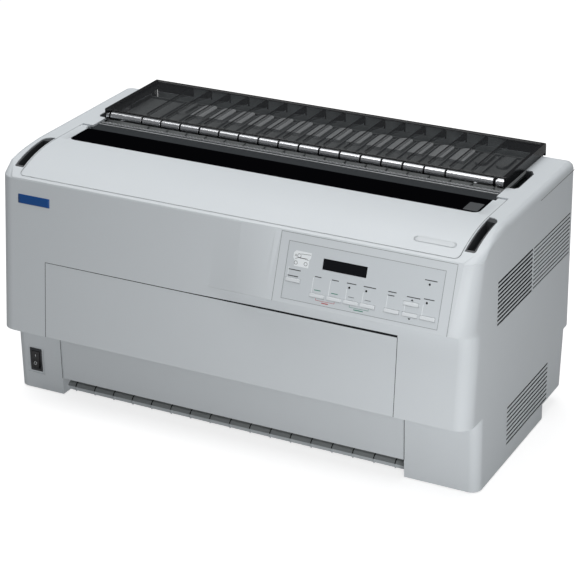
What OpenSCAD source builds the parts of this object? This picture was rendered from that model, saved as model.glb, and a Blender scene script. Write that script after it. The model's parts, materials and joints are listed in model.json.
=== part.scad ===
// Wide serial impact printer with a hinged top cover, a smoked paper cover and a fold-down front cover.
// Millimetres, +Z up. Heights start at the floor. Every y inside a module counts from the front face
// of the base, and body_frame() then centres the overall depth on the origin.

/* [Case] */
// Width of the case
case_w = 700; // [660:1:760]
// Height of the seam between the base and the upper case
seam_z = 106; // [95:1:120]
// Height of the flat deck
deck_z = 346; // [335:1:360]
// Rear face of the upper case, behind the base front
case_rear_y = 317.2; // [305:0.1:335]
// Wall thickness of the mouldings
wall = 3; // [2:0.5:4]
// How far the foot of the front face stands before the base
front_reach = 35.2; // [28:0.1:40]
// Setback of the top edge of the front face from its foot
front_lean = 24.2; // [18:0.1:30]
// Drop from the deck to the top edge of the front face
deck_drop = 24; // [18:1:30]
// Depth at which the sloping top meets the flat deck
knee_y = 90; // [80:1:105]
// Radius of the front upright corners
front_corner_r = 22; // [16:1:28]
// Radius of the rear upright corners
rear_corner_r = 12; // [10:1:18]
// Radius of the rounded long edges of the deck
deck_edge_r = 9; // [6:0.5:10]

/* [Base] */
// Depth of the part of the base that stands on the floor
foot_d = 233; // [220:1:245]
// Height of the clear space under the rear overhang
overhang_z = 23.4; // [18:0.1:30]
// Rear face of the base at the overhang
base_rear_low = 295.5; // [285:0.5:300]
// Rear face of the base at the seam
base_rear_high = 304.6; // [300:0.5:314]
// Thickness of the rubber feet
foot_t = 1.5; // [1:0.5:3]
// Width of the left pillar beside the paper channel
left_pillar_w = 73.2; // [65:0.1:85]
// Width of the right pillar beside the paper channel
right_pillar_w = 103; // [95:0.5:115]
// Radius of the base corners
base_corner_r = 14; // [8:1:20]
// Height of the lower edge of the fixed front panel
panel_low_z = 25.5; // [22:0.5:32]

/* [Front cover] */
// Width of the case to the left of the front cover
front_left_margin = 75; // [70:0.5:90]
// Width of the case to the right of the front cover
front_right_margin = 102.5; // [98:0.5:115]
// Height of the top edge of the front cover
front_cover_top = 212; // [190:1:220]
// Gap around the covers
seam_gap = 0.3; // [0.3:0.05:0.5]
// Radius of the front cover hinge pins
front_pin_r = 3; // [2:0.25:3.5]

/* [Control panel] */
// Width of the control panel
panel_w = 240.4; // [230:0.1:250]
// Width of the case to the right of the control panel
panel_margin = 27.6; // [26:0.1:34]
// Length of the control panel down the slope
panel_l = 90; // [86:0.5:94]
// How far the lower lip stands before the front face
brow_bulge = 22.6; // [16:0.1:26]
// Width over which the lip fades out to the left
brow_fade = 118; // [90:1:150]
// Radius of the lip corner at the right
brow_corner_r = 32; // [26:1:36]
// Thickness of the control panel moulding
panel_t = 3.5; // [3:0.25:4]
// Thickness of the printed sheet on the panel
overlay_t = 0.6; // [0.4:0.1:1]
// Width of a panel button
button_w = 20; // [16:0.5:22]
// Height of a panel button
button_h = 5; // [4:0.25:6]
// Travel of a panel button
button_travel = 1.5; // [1:0.1:1.8]

/* [Top cover] */
// Width of the case beside the top cover
lid_margin = 30; // [29:1:40]
// Width of the top cover beside its window
window_margin = 16; // [14:0.5:25]
// Front edge of the window
window_y = 91.5; // [91:0.5:98]
// Rear edge of the window
window_rear_y = 139.5; // [135:0.5:139.5]
// Radius of the top cover hinge pins
lid_pin_r = 2.5; // [2:0.25:3]

/* [Smoked cover] */
// Gap on each side of the smoked cover
smoke_gap = 0.6; // [0.5:0.1:2]
// Height of the smoked cover above the deck
smoke_rise = 14.5; // [13:0.5:18]
// Front edge of the smoked cover
smoke_front_y = 183; // [180:0.5:186]
// How far the smoked cover stands behind the case
smoke_overhang = 8.6; // [7.6:0.1:12]
// Thickness of the smoked cover
smoke_t = 2.5; // [2:0.25:3]
// Spacing of the ribs, dividers and pads
rib_pitch = 30.8; // [28:0.1:34]
// Radius of the tension rollers
tension_r = 6; // [5:0.25:6.5]
// Radius of the tension shaft
tension_shaft_r = 2.5; // [2:0.25:3]

/* [Print mechanism] */
// Thickness of the steel side frames
frame_t = 3; // [2:0.5:4]
// Radius of the platen
platen_r = 20; // [17:0.5:21]
// Radius of the platen shaft
platen_shaft_r = 8; // [6:0.5:9]
// Radius of the main carriage shaft
main_shaft_r = 8; // [6:0.5:8]
// Radius of the front carriage shaft
side_shaft_r = 6; // [5:0.5:7]
// Radius of the tractor guide shaft
tractor_shaft_r = 5; // [4:0.5:6]
// Side of the square shaft that turns the tractors
square_side = 10; // [8:0.5:10]
// Width of one tractor
tractor_w = 28; // [24:1:32]
// Length of the carriage
carriage_l = 60; // [50:1:70]
// Radial clearance of a running fit
run_gap = 0.05; // [0.03:0.01:0.08]
// Module of the paper feed gears
gear_m = 1.5; // [1.5:0.25:1.5]
// Face width of the paper feed gears
gear_w = 10; // [6:1:11]
// Teeth of the platen gear
platen_teeth = 48; // [48:1:48]
// Teeth of the idler gear
idler_teeth = 56; // [54:1:58]
// Teeth of the motor pinion
pinion_teeth = 16; // [16:1:16]
// Teeth of the tractor shaft gear
tractor_teeth = 34; // [34:1:34]
// Radius of the belt pulleys
pulley_r = 12; // [10:0.5:13]
// Side of the cooling fan
fan_side = 80; // [70:1:80]

/* [Hidden] */
$fn = 64;
case_grey = [0.83, 0.85, 0.86];
half = case_w / 2;
slack = 1;
front_cover_left = half - front_left_margin;
front_cover_right = half - front_right_margin;
panel_right = half - panel_margin;
panel_left = panel_right - panel_w;
lid_w = case_w - 2 * lid_margin;
window_w = lid_w - 2 * window_margin;
exit_half = window_w / 2;
smoke_w = 2 * (exit_half - smoke_gap);

// The front face and the top: straight below, a falling curve in front, flat behind the knee
front_top_y = front_lean - front_reach;
front_top_z = deck_z - deck_drop;
top_edge_r = 3;
function front_y(z) = -front_reach + (z - seam_z) * front_lean / (front_top_z - seam_z);
function top_z(y) = y > knee_y ? deck_z
    : deck_z - (deck_drop - 2) * pow((knee_y - y) / (knee_y - front_top_y - top_edge_r), 2.2);

// The panel plane: a length v down the slope from its top edge, a depth d behind its surface
brow_lip_z = front_top_z - 84;
brow_lip_y = front_y(brow_lip_z) - brow_bulge;
brow_foot_z = brow_lip_z - 12;
panel_tilt = atan2(front_top_z - brow_lip_z, front_top_y - brow_lip_y);
front_face_y = -(case_rear_y + smoke_overhang + brow_lip_y) / 2;
smoke_rear_y = case_rear_y + smoke_overhang;
overlay_left = panel_left + 11.5;
overlay_right = panel_right - 12.9;
overlay_top = 10.5;
overlay_low = panel_l - 5;
display_x = [panel_left + 63, panel_left + 123.3];
display_v = [25.5, 39];
button_gap = 0.3;
flange_d = panel_t + 0.3;
flange_t = 1;
board_d = 10;
board_t = 1.6;
buttons = [[107, 59.5], [142.9, 73], [166.6, 73], [190.1, 73], [212.8, 73], [245.6, 73], [269.8, 59.5],
    [270.1, 73], [293.9, 73]];
lamp_spots = [[185, 55], [208.3, 55], [290, 31.6], [290, 54.5]];
lamp_r = 1.5;
button_shift = panel_left - 82;

// The hinges of the three covers
lid_axis = [146, deck_z - 6];
lid_end_r = deck_z - lid_axis[1];
lid_rear_y = lid_axis[0] + lid_end_r;
lid_front_y = front_top_y + 5.8;
lid_arm_w = 12;
lid_arm_x = [lid_w / 2 - lid_arm_w, lid_w / 2];
lid_boss_x = [lid_w / 2 + 2.5, lid_w / 2 + 12];
smoke_axis = [case_rear_y - 5.7, deck_z - 6.5];
smoke_pin_r = 2;
smoke_ear_t = 4.2;
front_axis = [-12, seam_z + 7];
rear_sill_z = deck_z - 10;
bar_axis = [187, deck_z + 4];
bar_x = [-smoke_w / 2 + 9.4, smoke_w / 2 - 17.4];

// The print mechanism, between two steel frames
left_in = -half + 70;
right_in = half - 94;
path_x = (left_in + right_in) / 2;
platen_at = [192, deck_z - 84];
main_shaft_at = [140, platen_at[1] - 30];
side_shaft_at = [92, platen_at[1] - 30];
tractor_shaft_at = [30, seam_z + 29];
square_at = [70, seam_z + 59];
gear_x = right_in + frame_t + 3;
platen_gear_r = gear_m * platen_teeth / 2;
pinion_r = gear_m * pinion_teeth / 2;
tractor_gear_r = gear_m * tractor_teeth / 2;
idler_gear_r = gear_m * idler_teeth / 2;
mesh_gap = 0.1;
function away(p, q) = atan2(q[1] - p[1], q[0] - p[0]);
function far(p, q) = norm(q - p);
// The corner of a triangle that lies ra from p and rb from q, to the left of the way from p to q
function corner_at(p, ra, q, rb) =
    let (d = far(p, q), a = acos((ra * ra + d * d - rb * rb) / (2 * ra * d)) + away(p, q))
    p + ra * [cos(a), sin(a)];
pinion_way = away(platen_at, square_at);
pinion_at = platen_at + (platen_gear_r + pinion_r + mesh_gap) * [cos(pinion_way), sin(pinion_way)];
idler_at = corner_at(pinion_at, pinion_r + idler_gear_r + mesh_gap, square_at,
    idler_gear_r + tractor_gear_r + mesh_gap);
// The angle of a gear's tooth where it meets a gear whose own tooth stands at angle a
function mesh_angle(p, a, n, q, m) = away(p, q) + 180 + 180 / m - (a - away(p, q)) * n / m;
platen_phase = 0;
pinion_phase = mesh_angle(platen_at, platen_phase, platen_teeth, pinion_at, pinion_teeth);
idler_phase = mesh_angle(pinion_at, pinion_phase, pinion_teeth, idler_at, idler_teeth);
tractor_phase = mesh_angle(idler_at, idler_phase, idler_teeth, square_at, tractor_teeth);
pin_count = 7;
pin_pitch = 12.7;
sprocket_r = pin_count * pin_pitch / (2 * PI);
hub_r = square_side * 0.85;
tractor_x = [left_in + 50, right_in - 50];
carriage_x = path_x;
belt_z = main_shaft_at[1] - 28;
belt_w = 7;
belt_y = (main_shaft_at[0] + side_shaft_at[0]) / 2;
belt_gap = 0.3;
belt_t = 1.5;
pulley_x = [left_in + 28, right_in - 28];
pulley_pin_r = 3;
pulley_plate_z = belt_z - 8;
motor_r = 25;
pan_z = foot_t + wall;
pan_t = 1.5;
deck_plate_z = deck_z - 10;
// The underside of the exit guide's rolled front edge: y, and height from the deck plate
guide_curl = [[190, -36], [191, -14], [196, -4], [204, 0]];
guide_slot = 0.4;
tear_y = 171;
socket_rear_y = base_rear_low - wall;
fan_at = [half - rear_corner_r - fan_side / 2 - 1, case_rear_y - wall, seam_z + 58];
fan_d = 25;
fan_bore_r = fan_side / 2 - 3;

module body_frame() {
    translate([0, front_face_y, 0]) children();
}

// A drawing in y and z, drawn out from one x to another
module profile_x(x0, x1) {
    translate([x0, 0, 0]) rotate([90, 0, 90]) linear_extrude(x1 - x0) children();
}

module rod(x0, x1, at, r) {
    translate([x0, at[0], at[1]]) rotate([0, 90, 0]) cylinder(r = r, h = x1 - x0);
}

module box(lo, hi) {
    translate(lo) cube(hi - lo);
}

module both_sides() {
    children();
    mirror([1, 0, 0]) children();
}

// Things on the panel: x along it, v down it, and z straight out of its surface
module on_panel(x, v) {
    translate([x, front_top_y - v * cos(panel_tilt), front_top_z - v * sin(panel_tilt)])
        rotate([panel_tilt, 0, 0]) children();
}

module panel_block(x0, x1, v0, v1, d0, d1) {
    on_panel(0, 0) box([x0, -v1, -d1], [x1, -v0, -d0]);
}

// The closed outer form of the upper case, set in by a wall thickness t: the points of its right side
form_steps = 6;
function form_points(t) =
    let (low_z = seam_z - (t > 0 ? 1 : 0), front_r = front_corner_r - t, rear_r = rear_corner_r - t,
        edge = max(top_edge_r - t, 0.4), soft = deck_edge_r - t, ring_x = half - front_corner_r,
        rear_x = half - rear_corner_r, rear_y = case_rear_y - rear_corner_r)
    concat(
        [for (a = [-90 : 15 : 0]) [ring_x + front_r * cos(a),
            front_corner_r - front_reach + front_r * sin(a), low_z]],
        [for (a = [0 : 22.5 : 90]) [rear_x + rear_r * cos(a), rear_y + rear_r * sin(a), low_z]],
        [for (a = [-90 : 15 : 0], e = [0 : 45 : 90]) let (r = front_r - edge + edge * cos(e))
            [ring_x + r * cos(a), front_top_y + front_corner_r + r * sin(a),
                front_top_z + 2 - top_edge_r + edge * sin(e)]],
        [for (i = [1 : form_steps], e = [0 : 30 : 90])
            let (y = knee_y - (form_steps - i) * 14, e_out = top_edge_r
                + (deck_edge_r - top_edge_r) * min(1, max(0, y - 6) / 56), e_in = max(e_out - t, 0.4))
            [half - e_out + e_in * cos(e), y, top_z(y) - e_out + e_in * sin(e)]],
        [for (a = [0 : 22.5 : 90], e = [0 : 30 : 90])
            let (r = rear_corner_r - deck_edge_r + soft * cos(e))
            [rear_x + r * cos(a), rear_y + r * sin(a), deck_z - deck_edge_r + soft * sin(e)]]);
module upper_form(t) {
    right = form_points(t);
    points = concat(right, [for (p = right) [-p[0], p[1], p[2]]]);
    hull() polyhedron(points, [[for (i = [0 : len(points) - 1]) i]]);
}

// The swollen lip that carries the control panel: sections across x that fade out at the left
// and turn the corner at the right
function smooth(t) = let (c = min(1, max(0, t))) c * c * (3 - 2 * c);
function turn(x, edge, r) = x < edge - r ? 0 : r - sqrt(max(0, r * r - pow(x - edge + r, 2)));
brow_steps = 14;
brow_from = panel_left - 1 - brow_fade;
brow_xs = concat([for (i = [0 : brow_steps]) brow_from + brow_fade * i / brow_steps], [half - brow_corner_r]);
corner_xs = [for (i = [0 : 8]) half - brow_corner_r + (brow_corner_r - 0.05) * sin(i * 90 / 8)];
function brow_section(x) =
    let (s = smooth((x - brow_from) / brow_fade), sink = 0.5,
        lip_z = brow_foot_z + 1 + (brow_lip_z - brow_foot_z - 1) * s,
        lip_y = front_y(lip_z) + sink - (brow_bulge + sink) * s + turn(x, half, brow_corner_r),
        face = turn(x, half, front_corner_r))
    [[x, front_top_y + sink * (1 - s) + face, front_top_z],
        [x, lip_y + 2.2 / tan(panel_tilt), lip_z + 2.2],
        [x, lip_y, lip_z],
        [x, lip_y + 0.9 * s, lip_z - 0.5],
        [x, front_y(brow_foot_z) + sink + face, brow_foot_z],
        [x, front_y(brow_foot_z) + 2.6 + face, brow_foot_z],
        [x, front_top_y + 2.6 + face, front_top_z]];
module brow() {
    n = 7;
    last = len(brow_xs) - 1;
    points = [for (x = brow_xs) each brow_section(x)];
    skin = [for (i = [0 : last - 1], k = [0 : n - 1])
        each [[i * n + k, (i + 1) * n + k, i * n + (k + 1) % n],
            [(i + 1) * n + k, (i + 1) * n + (k + 1) % n, i * n + (k + 1) % n]]];
    ends = [[for (k = [0 : n - 1]) k], [for (k = [n - 1 : -1 : 0]) last * n + k]];
    polyhedron(points, concat(skin, ends), convexity = 4);
    corner = [for (x = corner_xs) each brow_section(x)];
    hull() polyhedron(corner, [[for (i = [0 : len(corner) - 1]) i]]);
}

module rounded(lo, hi, r) {
    hull() for (x = [lo[0] + r, hi[0] - r], y = [lo[1] + r, hi[1] - r])
        translate([x, y]) circle(r);
}

// The grip recess beside the top cover: straight along the cover, rounded at the outer rear
grip_x = [lid_w / 2 + 2, lid_w / 2 + 16.5];
grip_y = [8, 87];
module grip_outline() {
    intersection() {
        translate([grip_x[0], grip_y[0]]) square([grip_x[1] - grip_x[0], grip_y[1] - grip_y[0]]);
        hull() {
            translate([grip_x[0] + 1, grip_y[0] + 1]) circle(1, $fn = 16);
            translate([grip_x[1] - 3, grip_y[0] + 3]) circle(3, $fn = 24);
            translate([grip_x[1] - 13, grip_y[1] - 13]) circle(13, $fn = 48);
        }
    }
}

// The finger notch beside the smoked cover
notch_x = [exit_half, exit_half + 14.4];
notch_y = [186, 254];
module notch_outline() {
    polygon([[notch_x[0], notch_y[0]], [notch_x[1] - 4, notch_y[0]], [notch_x[1], notch_y[0] + 6],
        [notch_x[1], notch_y[1] - 10], [notch_x[1] - 6, notch_y[1]], [notch_x[0], notch_y[1]]]);
}

// Rows of ventilation slots along y, over both side walls
module vent_rows(y0, y1, z0, z1, count, slot_h) {
    step = (z1 - z0 - slot_h) / (count - 1);
    profile_x(-half - slack, half + slack) for (i = [0 : count - 1])
        translate([y0, z0 + i * step]) square([y1 - y0, slot_h]);
}
side_vent_y = [51.5, case_rear_y - 13.7];
side_vent_z = [deck_z - 130, deck_z - 69];
vent_web_y = 170;
low_vent_y = [94, 238.5];
low_vent_z = [panel_low_z, 81];

// The outline of the base seen from above, up to a rear face
function quarter(c, r, from) = [for (i = [0 : 8]) c + r * [cos(from + i * 90 / 8), sin(from + i * 90 / 8)]];
module base_outline(rear, inset) {
    front = base_corner_r - inset;
    back = rear_corner_r - inset;
    polygon(concat(quarter([-half + base_corner_r, base_corner_r], front, 180),
        quarter([half - base_corner_r, base_corner_r], front, 270),
        quarter([half - rear_corner_r, rear - rear_corner_r], back, 0),
        quarter([-half + rear_corner_r, rear - rear_corner_r], back, 90)));
}
// The upper part of the base, whose rear face leans back
module base_upper(z0, z1, inset) {
    hull() {
        translate([0, 0, z0]) linear_extrude(0.2) base_outline(base_rear_low, inset);
        translate([0, 0, z1 - 0.2]) linear_extrude(0.2) base_outline(base_rear_high, inset);
    }
}
channel_x = [-half + left_pillar_w, half - right_pillar_w];
channel_d = 42;
channel_wall = 2.7;
inlet_x = [-half + 32, -half + 62];
inlet_z = [overhang_z + 22, overhang_z + 44];
inlet_plane_y = base_rear_low - 2.5;
port_x = [path_x + 92, path_x + 212];
port_z = [overhang_z + 9, overhang_z + 27];
switch_at = [-half + 30.3, 46];
switch_hole = [16, 30];
post_y = [52, 80];

module base_case() {
    color(case_grey) body_frame() difference() {
        union() {
            difference() {
                union() {
                    translate([0, 0, foot_t]) linear_extrude(overhang_z + wall - foot_t)
                        base_outline(foot_d, 0);
                    base_upper(overhang_z, seam_z, 0);
                }
                translate([0, 0, pan_z]) linear_extrude(seam_z) base_outline(foot_d, wall);
                base_upper(overhang_z + wall, seam_z + slack, wall);
            }
            // Walls of the paper channel
            box([channel_x[0] - channel_wall, wall, foot_t], [channel_x[0], 60, seam_z]);
            box([channel_x[1], wall, foot_t], [channel_x[1] + wall, 60, seam_z]);
            // Upright seat of the power inlet
            intersection() {
                base_upper(overhang_z, seam_z, 0);
                box([inlet_x[0] - 8, inlet_plane_y - wall, inlet_z[0] - 8],
                    [inlet_x[1] + 8, base_rear_high, inlet_z[1] + 8]);
            }
            // Screw posts that carry the steel pan's upper fixings
            for (x = [-half + 22, half - 22], y = post_y)
                translate([x, y, pan_z]) cylinder(r = 6, h = 60);
        }
        // Paper channel, open to the front and below
        box([channel_x[0], -slack, 0], [channel_x[1], channel_d, seam_z + slack]);
        vent_rows(low_vent_y[0], low_vent_y[1], low_vent_z[0], low_vent_z[1], 9, 3);
        // Recess and hole of the power switch
        translate([switch_at[0], 0, switch_at[1]]) rotate([90, 0, 0]) {
            translate([-14.5, -20.5, -1.2]) cube([28, 40, 5]);
            translate([-switch_hole[0] / 2, -switch_hole[1] / 2, -10]) cube([switch_hole[0],
                switch_hole[1], 20]);
        }
        // Rear recess and hole of the power inlet, and the window of the interface sockets
        box([inlet_x[0] - 5, inlet_plane_y, inlet_z[0] - 5], [inlet_x[1] + 5, base_rear_high + slack,
            inlet_z[1] + 5]);
        box([inlet_x[0], inlet_plane_y - 10, inlet_z[0]], [inlet_x[1], base_rear_high, inlet_z[1]]);
        box([port_x[0], foot_d + 10, port_z[0]], [port_x[1], base_rear_high + slack, port_z[1]]);
        for (x = [-half + 22, half - 22], y = post_y)
            translate([x, y, pan_z + 20]) cylinder(r = 1.6, h = 60);
    }
}

module base_pan() {
    color("silver") body_frame() difference() {
        union() {
            box([-half + 32, channel_d + 20, pan_z], [half - 32, foot_d - 11, pan_z + pan_t]);
            box([-half + 32, channel_d + 20, pan_z], [half - 32, channel_d + 20 + pan_t, pan_z + 12]);
            box([-half + 32, foot_d - 11 - pan_t, pan_z], [half - 32, foot_d - 11, pan_z + 12]);
        }
        for (x = [-half + 90 : 60 : half - 90])
            translate([x, foot_d - 30, pan_z - slack]) cylinder(r = 4, h = 5);
    }
}

module feet() {
    color([0.15, 0.15, 0.16]) body_frame() both_sides() for (y = [24, foot_d - 24])
        translate([half - 34, y, 0]) rotate_extrude()
            polygon([[0, 0], [11, 0], [12.5, foot_t * 0.5], [12.5, foot_t], [0, foot_t]]);
}

module lower_front_panel() {
    x0 = channel_x[0] + seam_gap;
    x1 = channel_x[1] - seam_gap;
    color(case_grey) body_frame() {
        difference() {
            union() {
                box([x0, 1.5, panel_low_z], [x1, 1.5 + wall, seam_z - 0.3]);
                // Lower return lip over the paper slot
                profile_x(x0, x1) polygon([[1.5, panel_low_z], [16, panel_low_z + 3],
                    [16, panel_low_z + 5.5], [1.5, panel_low_z + 4]]);
                box([x0, 4, seam_z - 3.3], [x1, 20, seam_z - 0.3]);
                for (x = [x0 + 40 : 60 : x1 - 20])
                    profile_x(x, x + 2) polygon([[4, panel_low_z + 3], [14, panel_low_z + 4],
                        [18, seam_z - 2], [4, seam_z - 2]]);
            }
            for (x = [x0 + 70 : 60 : x1 - 50]) box([x, 12, seam_z - 4], [x + 20, 16, seam_z]);
        }
        // End blocks that fill the seam to the channel walls
        box([channel_x[0], 3, 40], [x0 + 2, 16, 90]);
        box([x1 - 2, 3, 40], [channel_x[1], 16, 90]);
    }
}

module front_paper_guide() {
    color([0.8, 0.82, 0.83]) body_frame() {
        profile_x(channel_x[0], channel_x[1])
            polygon([[14, 3.5], [14, 10.5], [16, 12], [28, 15], [34, 22], [37, 34], [37, seam_z - 2],
                [39, seam_z - 2],
                [39, 33], [36, 20], [30, 13], [18, 9.5], [16.5, 8.5], [16.5, 3.5]]);
        for (x = [channel_x[0] + 12 : rib_pitch : channel_x[1] - 4])
            profile_x(x, x + 1.6)
                polygon([[12, 3.5], [12, 10.5], [15, 13.5], [27, 16.8], [32, 23], [35, 35],
                    [35, seam_z - 6], [37.2, seam_z - 6],
                    [37.2, 34], [34.2, 22], [28.2, 14.9], [16.2, 11.9], [14.2, 10.4], [14.2, 3.5]]);
    }
}

front_opening_x = [-front_cover_left - seam_gap, front_cover_right + seam_gap];
front_pin_x = [[front_opening_x[0] - wall, front_opening_x[0] + 11],
    [front_opening_x[1] - 11, front_opening_x[1] + wall]];
module upper_case() {
    ring_x = [panel_left - 3, panel_right + 3];
    color(case_grey) body_frame() difference() {
        union() {
            difference() {
                union() {
                    upper_form(0);
                    brow();
                }
                upper_form(wall);
            }
            // Frame behind the control panel, which it rests on
            panel_block(ring_x[0], ring_x[1], 3.2, panel_l - 0.6, 1.2, panel_t + 2.5);
            // Floor of the front overhang on both sides of the front cover
            intersection() {
                upper_form(0);
                union() {
                    box([-half, -front_reach - slack, seam_z], [front_opening_x[0], wall, seam_z + wall]);
                    box([front_opening_x[1], -front_reach - slack, seam_z], [half, wall, seam_z + wall]);
                    // Cheeks that carry the front cover's pins
                    box([front_opening_x[0] - wall, -front_reach - slack, seam_z], [front_opening_x[0],
                        6, front_cover_top + 6]);
                    box([front_opening_x[1], -front_reach - slack, seam_z],
                        [front_opening_x[1] + wall, 6, front_cover_top + 6]);
                    // Bosses of the smoked cover's pins
                    both_sides() box([exit_half, smoke_axis[0] - 6, smoke_axis[1] - 6],
                        [exit_half + 9, case_rear_y, deck_z]);
                }
            }
            // Bosses of the top cover's pins, hung from the deck
            both_sides() box([lid_boss_x[0], lid_axis[0] - 7, lid_axis[1] - 7], [lid_boss_x[1],
                lid_axis[0] + 7, deck_z - wall + 0.5]);
            // Screw pillars down to the base
            both_sides() for (y = [20, case_rear_y - 40])
                translate([half - wall - 7, y, seam_z]) cylinder(r = 8, h = 40);
        }
        // Opening of the top cover and, behind it, of the paper exit
        translate([0, 0, deck_z - 60]) linear_extrude(80)
            rounded([-lid_w / 2 - seam_gap, lid_front_y - 0.3], [lid_w / 2 + seam_gap, lid_axis[0]], 7);
        box([-lid_w / 2 - seam_gap, lid_axis[0] - 20, deck_z - 60],
            [lid_w / 2 + seam_gap, lid_rear_y + seam_gap, deck_z + 20]);
        box([-exit_half, lid_rear_y - 10, rear_sill_z], [exit_half, case_rear_y + slack, deck_z + 20]);
        // Opening of the front cover
        profile_x(front_opening_x[0], front_opening_x[1]) polygon([[-front_reach - 40, seam_z - 5],
            [-front_reach - 40, front_cover_top + seam_gap], [16, front_cover_top + seam_gap],
                [16, seam_z - 5]]);
        // Seat and window of the control panel, and the space behind it
        panel_block(panel_left - 0.25, panel_right + 0.25, 0.8, panel_l + 30, -40, panel_t);
        panel_block(panel_left + 3, panel_right - 3, 6, panel_l - 5, -40, 40);
        // Grips and finger notches
        both_sides() translate([0, 0, deck_z - 60]) linear_extrude(80) {
            grip_outline();
            notch_outline();
        }
        vent_rows(side_vent_y[0], vent_web_y - 1.5, side_vent_z[0], side_vent_z[1], 11, 3.4);
        vent_rows(vent_web_y + 1.5, side_vent_y[1], side_vent_z[0] + 1, side_vent_z[1] - 1, 11, 2.2);
        // Pin bores
        for (side = front_pin_x) rod(side[0] - slack, side[1], front_axis, front_pin_r);
        rod(-lid_boss_x[1] + 1.5, lid_boss_x[1] - 1.5, lid_axis, lid_pin_r);
        rod(-exit_half - 8, exit_half + 8, smoke_axis, smoke_pin_r);
        // Rear paper slot and the fan grille
        box([left_in + 6, case_rear_y - 8, seam_z + 70], [right_in - 6, case_rear_y + slack, seam_z + 102]);
        for (i = [-5 : 5]) {
            chord = sqrt(pow(fan_bore_r, 2) - pow(i * 6.4, 2));
            box([fan_at[0] - chord, case_rear_y - 8, fan_at[2] + i * 6.4 - 1.6],
                [fan_at[0] + chord, case_rear_y + slack, fan_at[2] + i * 6.4 + 1.6]);
        }
        // Groove of the soft seam along the edge of the deck
        both_sides() box([half - 0.8, 190, deck_z - 12], [half + slack, case_rear_y - 6, deck_z - 11.2]);
    }
}

module button_holes(extra, d0, d1) {
    for (b = buttons)
        panel_block(b[0] + button_shift - button_w / 2 - extra, b[0] + button_shift + button_w / 2 + extra,
            b[1] - button_h / 2 - extra, b[1] + button_h / 2 + extra, d0, d1);
}

module lamp_holes(r, d0, d1) {
    for (l = lamp_spots) on_panel(l[0] + button_shift, l[1]) translate([0, 0, -d1]) cylinder(r = r,
        h = d1 - d0, $fn = 24);
}

post_spots = [[panel_left + 12, 18], [panel_right - 14, 18], [panel_left + 12, panel_l - 9],
    [panel_right - 14, panel_l - 9],
    [(panel_left + panel_right) / 2, panel_l - 9]];
module control_panel() {
    color([0.79, 0.81, 0.82]) body_frame() difference() {
        union() {
            panel_block(panel_left, panel_right, 1.05, panel_l, 0, panel_t);
            for (p = post_spots) on_panel(p[0], p[1]) translate([0, 0, -board_d]) cylinder(r = 3.2,
                h = board_d - panel_t + 0.5);
        }
        panel_block(overlay_left, overlay_right, overlay_top, overlay_low, -slack, overlay_t);
        panel_block(display_x[0] - 0.3, display_x[1] + 0.3, display_v[0] - 0.3, display_v[1] + 0.3, -slack,
            panel_t + slack);
        button_holes(button_gap, -slack, panel_t + slack);
        lamp_holes(lamp_r + 0.1, -slack, panel_t + slack);
        for (p = post_spots) on_panel(p[0], p[1]) translate([0, 0, -board_d - slack]) cylinder(r = 1.2,
            h = 6);
    }
}

module panel_overlay() {
    color([0.76, 0.78, 0.79]) body_frame() difference() {
        panel_block(overlay_left, overlay_right, overlay_top, overlay_low, 0, overlay_t);
        panel_block(display_x[0] - 0.3, display_x[1] + 0.3, display_v[0] - 0.3, display_v[1] + 0.3, -slack,
            panel_t);
        button_holes(button_gap, -slack, panel_t);
        lamp_holes(lamp_r + 0.1, -slack, panel_t);
    }
}

module display() {
    color([0.04, 0.05, 0.06]) body_frame() {
        panel_block(display_x[0], display_x[1], display_v[0], display_v[1], 0.2, panel_t);
        panel_block(display_x[0] - 5, display_x[1] + 5, display_v[0] - 5, display_v[1] + 6, panel_t, board_d);
    }
}

module panel_board() {
    color([0.1, 0.35, 0.2]) body_frame() {
        panel_block(panel_left + 6, panel_right - 8, 14, panel_l - 6, board_d, board_d + board_t);
        // A push switch behind each button
        for (b = buttons)
            panel_block(b[0] + button_shift - 3, b[0] + button_shift + 3, b[1] - 3, b[1] + 3,
                flange_d + flange_t + button_travel + 0.6, board_d);
        panel_block(panel_left + 70, panel_left + 96, 50, 62, board_d + board_t, board_d + board_t + 3);
        panel_block(panel_left + 120, panel_left + 150, 60, 68, board_d + board_t, board_d + board_t + 7);
    }
}

module lamps() {
    color([0.12, 0.16, 0.12]) body_frame() for (l = lamp_spots) on_panel(l[0] + button_shift, l[1])
        translate([0, 0, -board_d]) rotate_extrude($fn = 24)
            polygon([[0, 0], [lamp_r, 0], [lamp_r, board_d - 0.7], [lamp_r * 0.7, board_d - 0.15],
                [0, board_d]]);
}

// One push button: a cap with bevelled edges, and a flange that keeps it behind the panel
module panel_button(i) {
    x = buttons[i][0] + button_shift;
    v = buttons[i][1];
    color([0.86, 0.88, 0.88]) body_frame() {
        on_panel(x, v) rotate([90, 0, 90]) translate([0, 0, -button_w / 2]) linear_extrude(button_w)
            polygon([[-button_h / 2, -flange_d - 0.1], [button_h / 2, -flange_d - 0.1], [button_h / 2, 0.4],
                [button_h / 2 - 0.5, 1.1], [-button_h / 2 + 0.5, 1.1], [-button_h / 2, 0.4]]);
        panel_block(x - button_w / 2 - 1, x + button_w / 2 + 1, v - button_h / 2 - 1, v + button_h / 2 + 1,
            flange_d, flange_d + flange_t);
    }
}
module button_select() { panel_button(0); }
module button_font() { panel_button(1); }
module button_pitch() { panel_button(2); }
module button_tear_off() { panel_button(3); }
module button_form_top() { panel_button(4); }
module button_load() { panel_button(5); }
module button_feed_up() { panel_button(6); }
module button_feed_down() { panel_button(7); }
module button_pause() { panel_button(8); }

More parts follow.
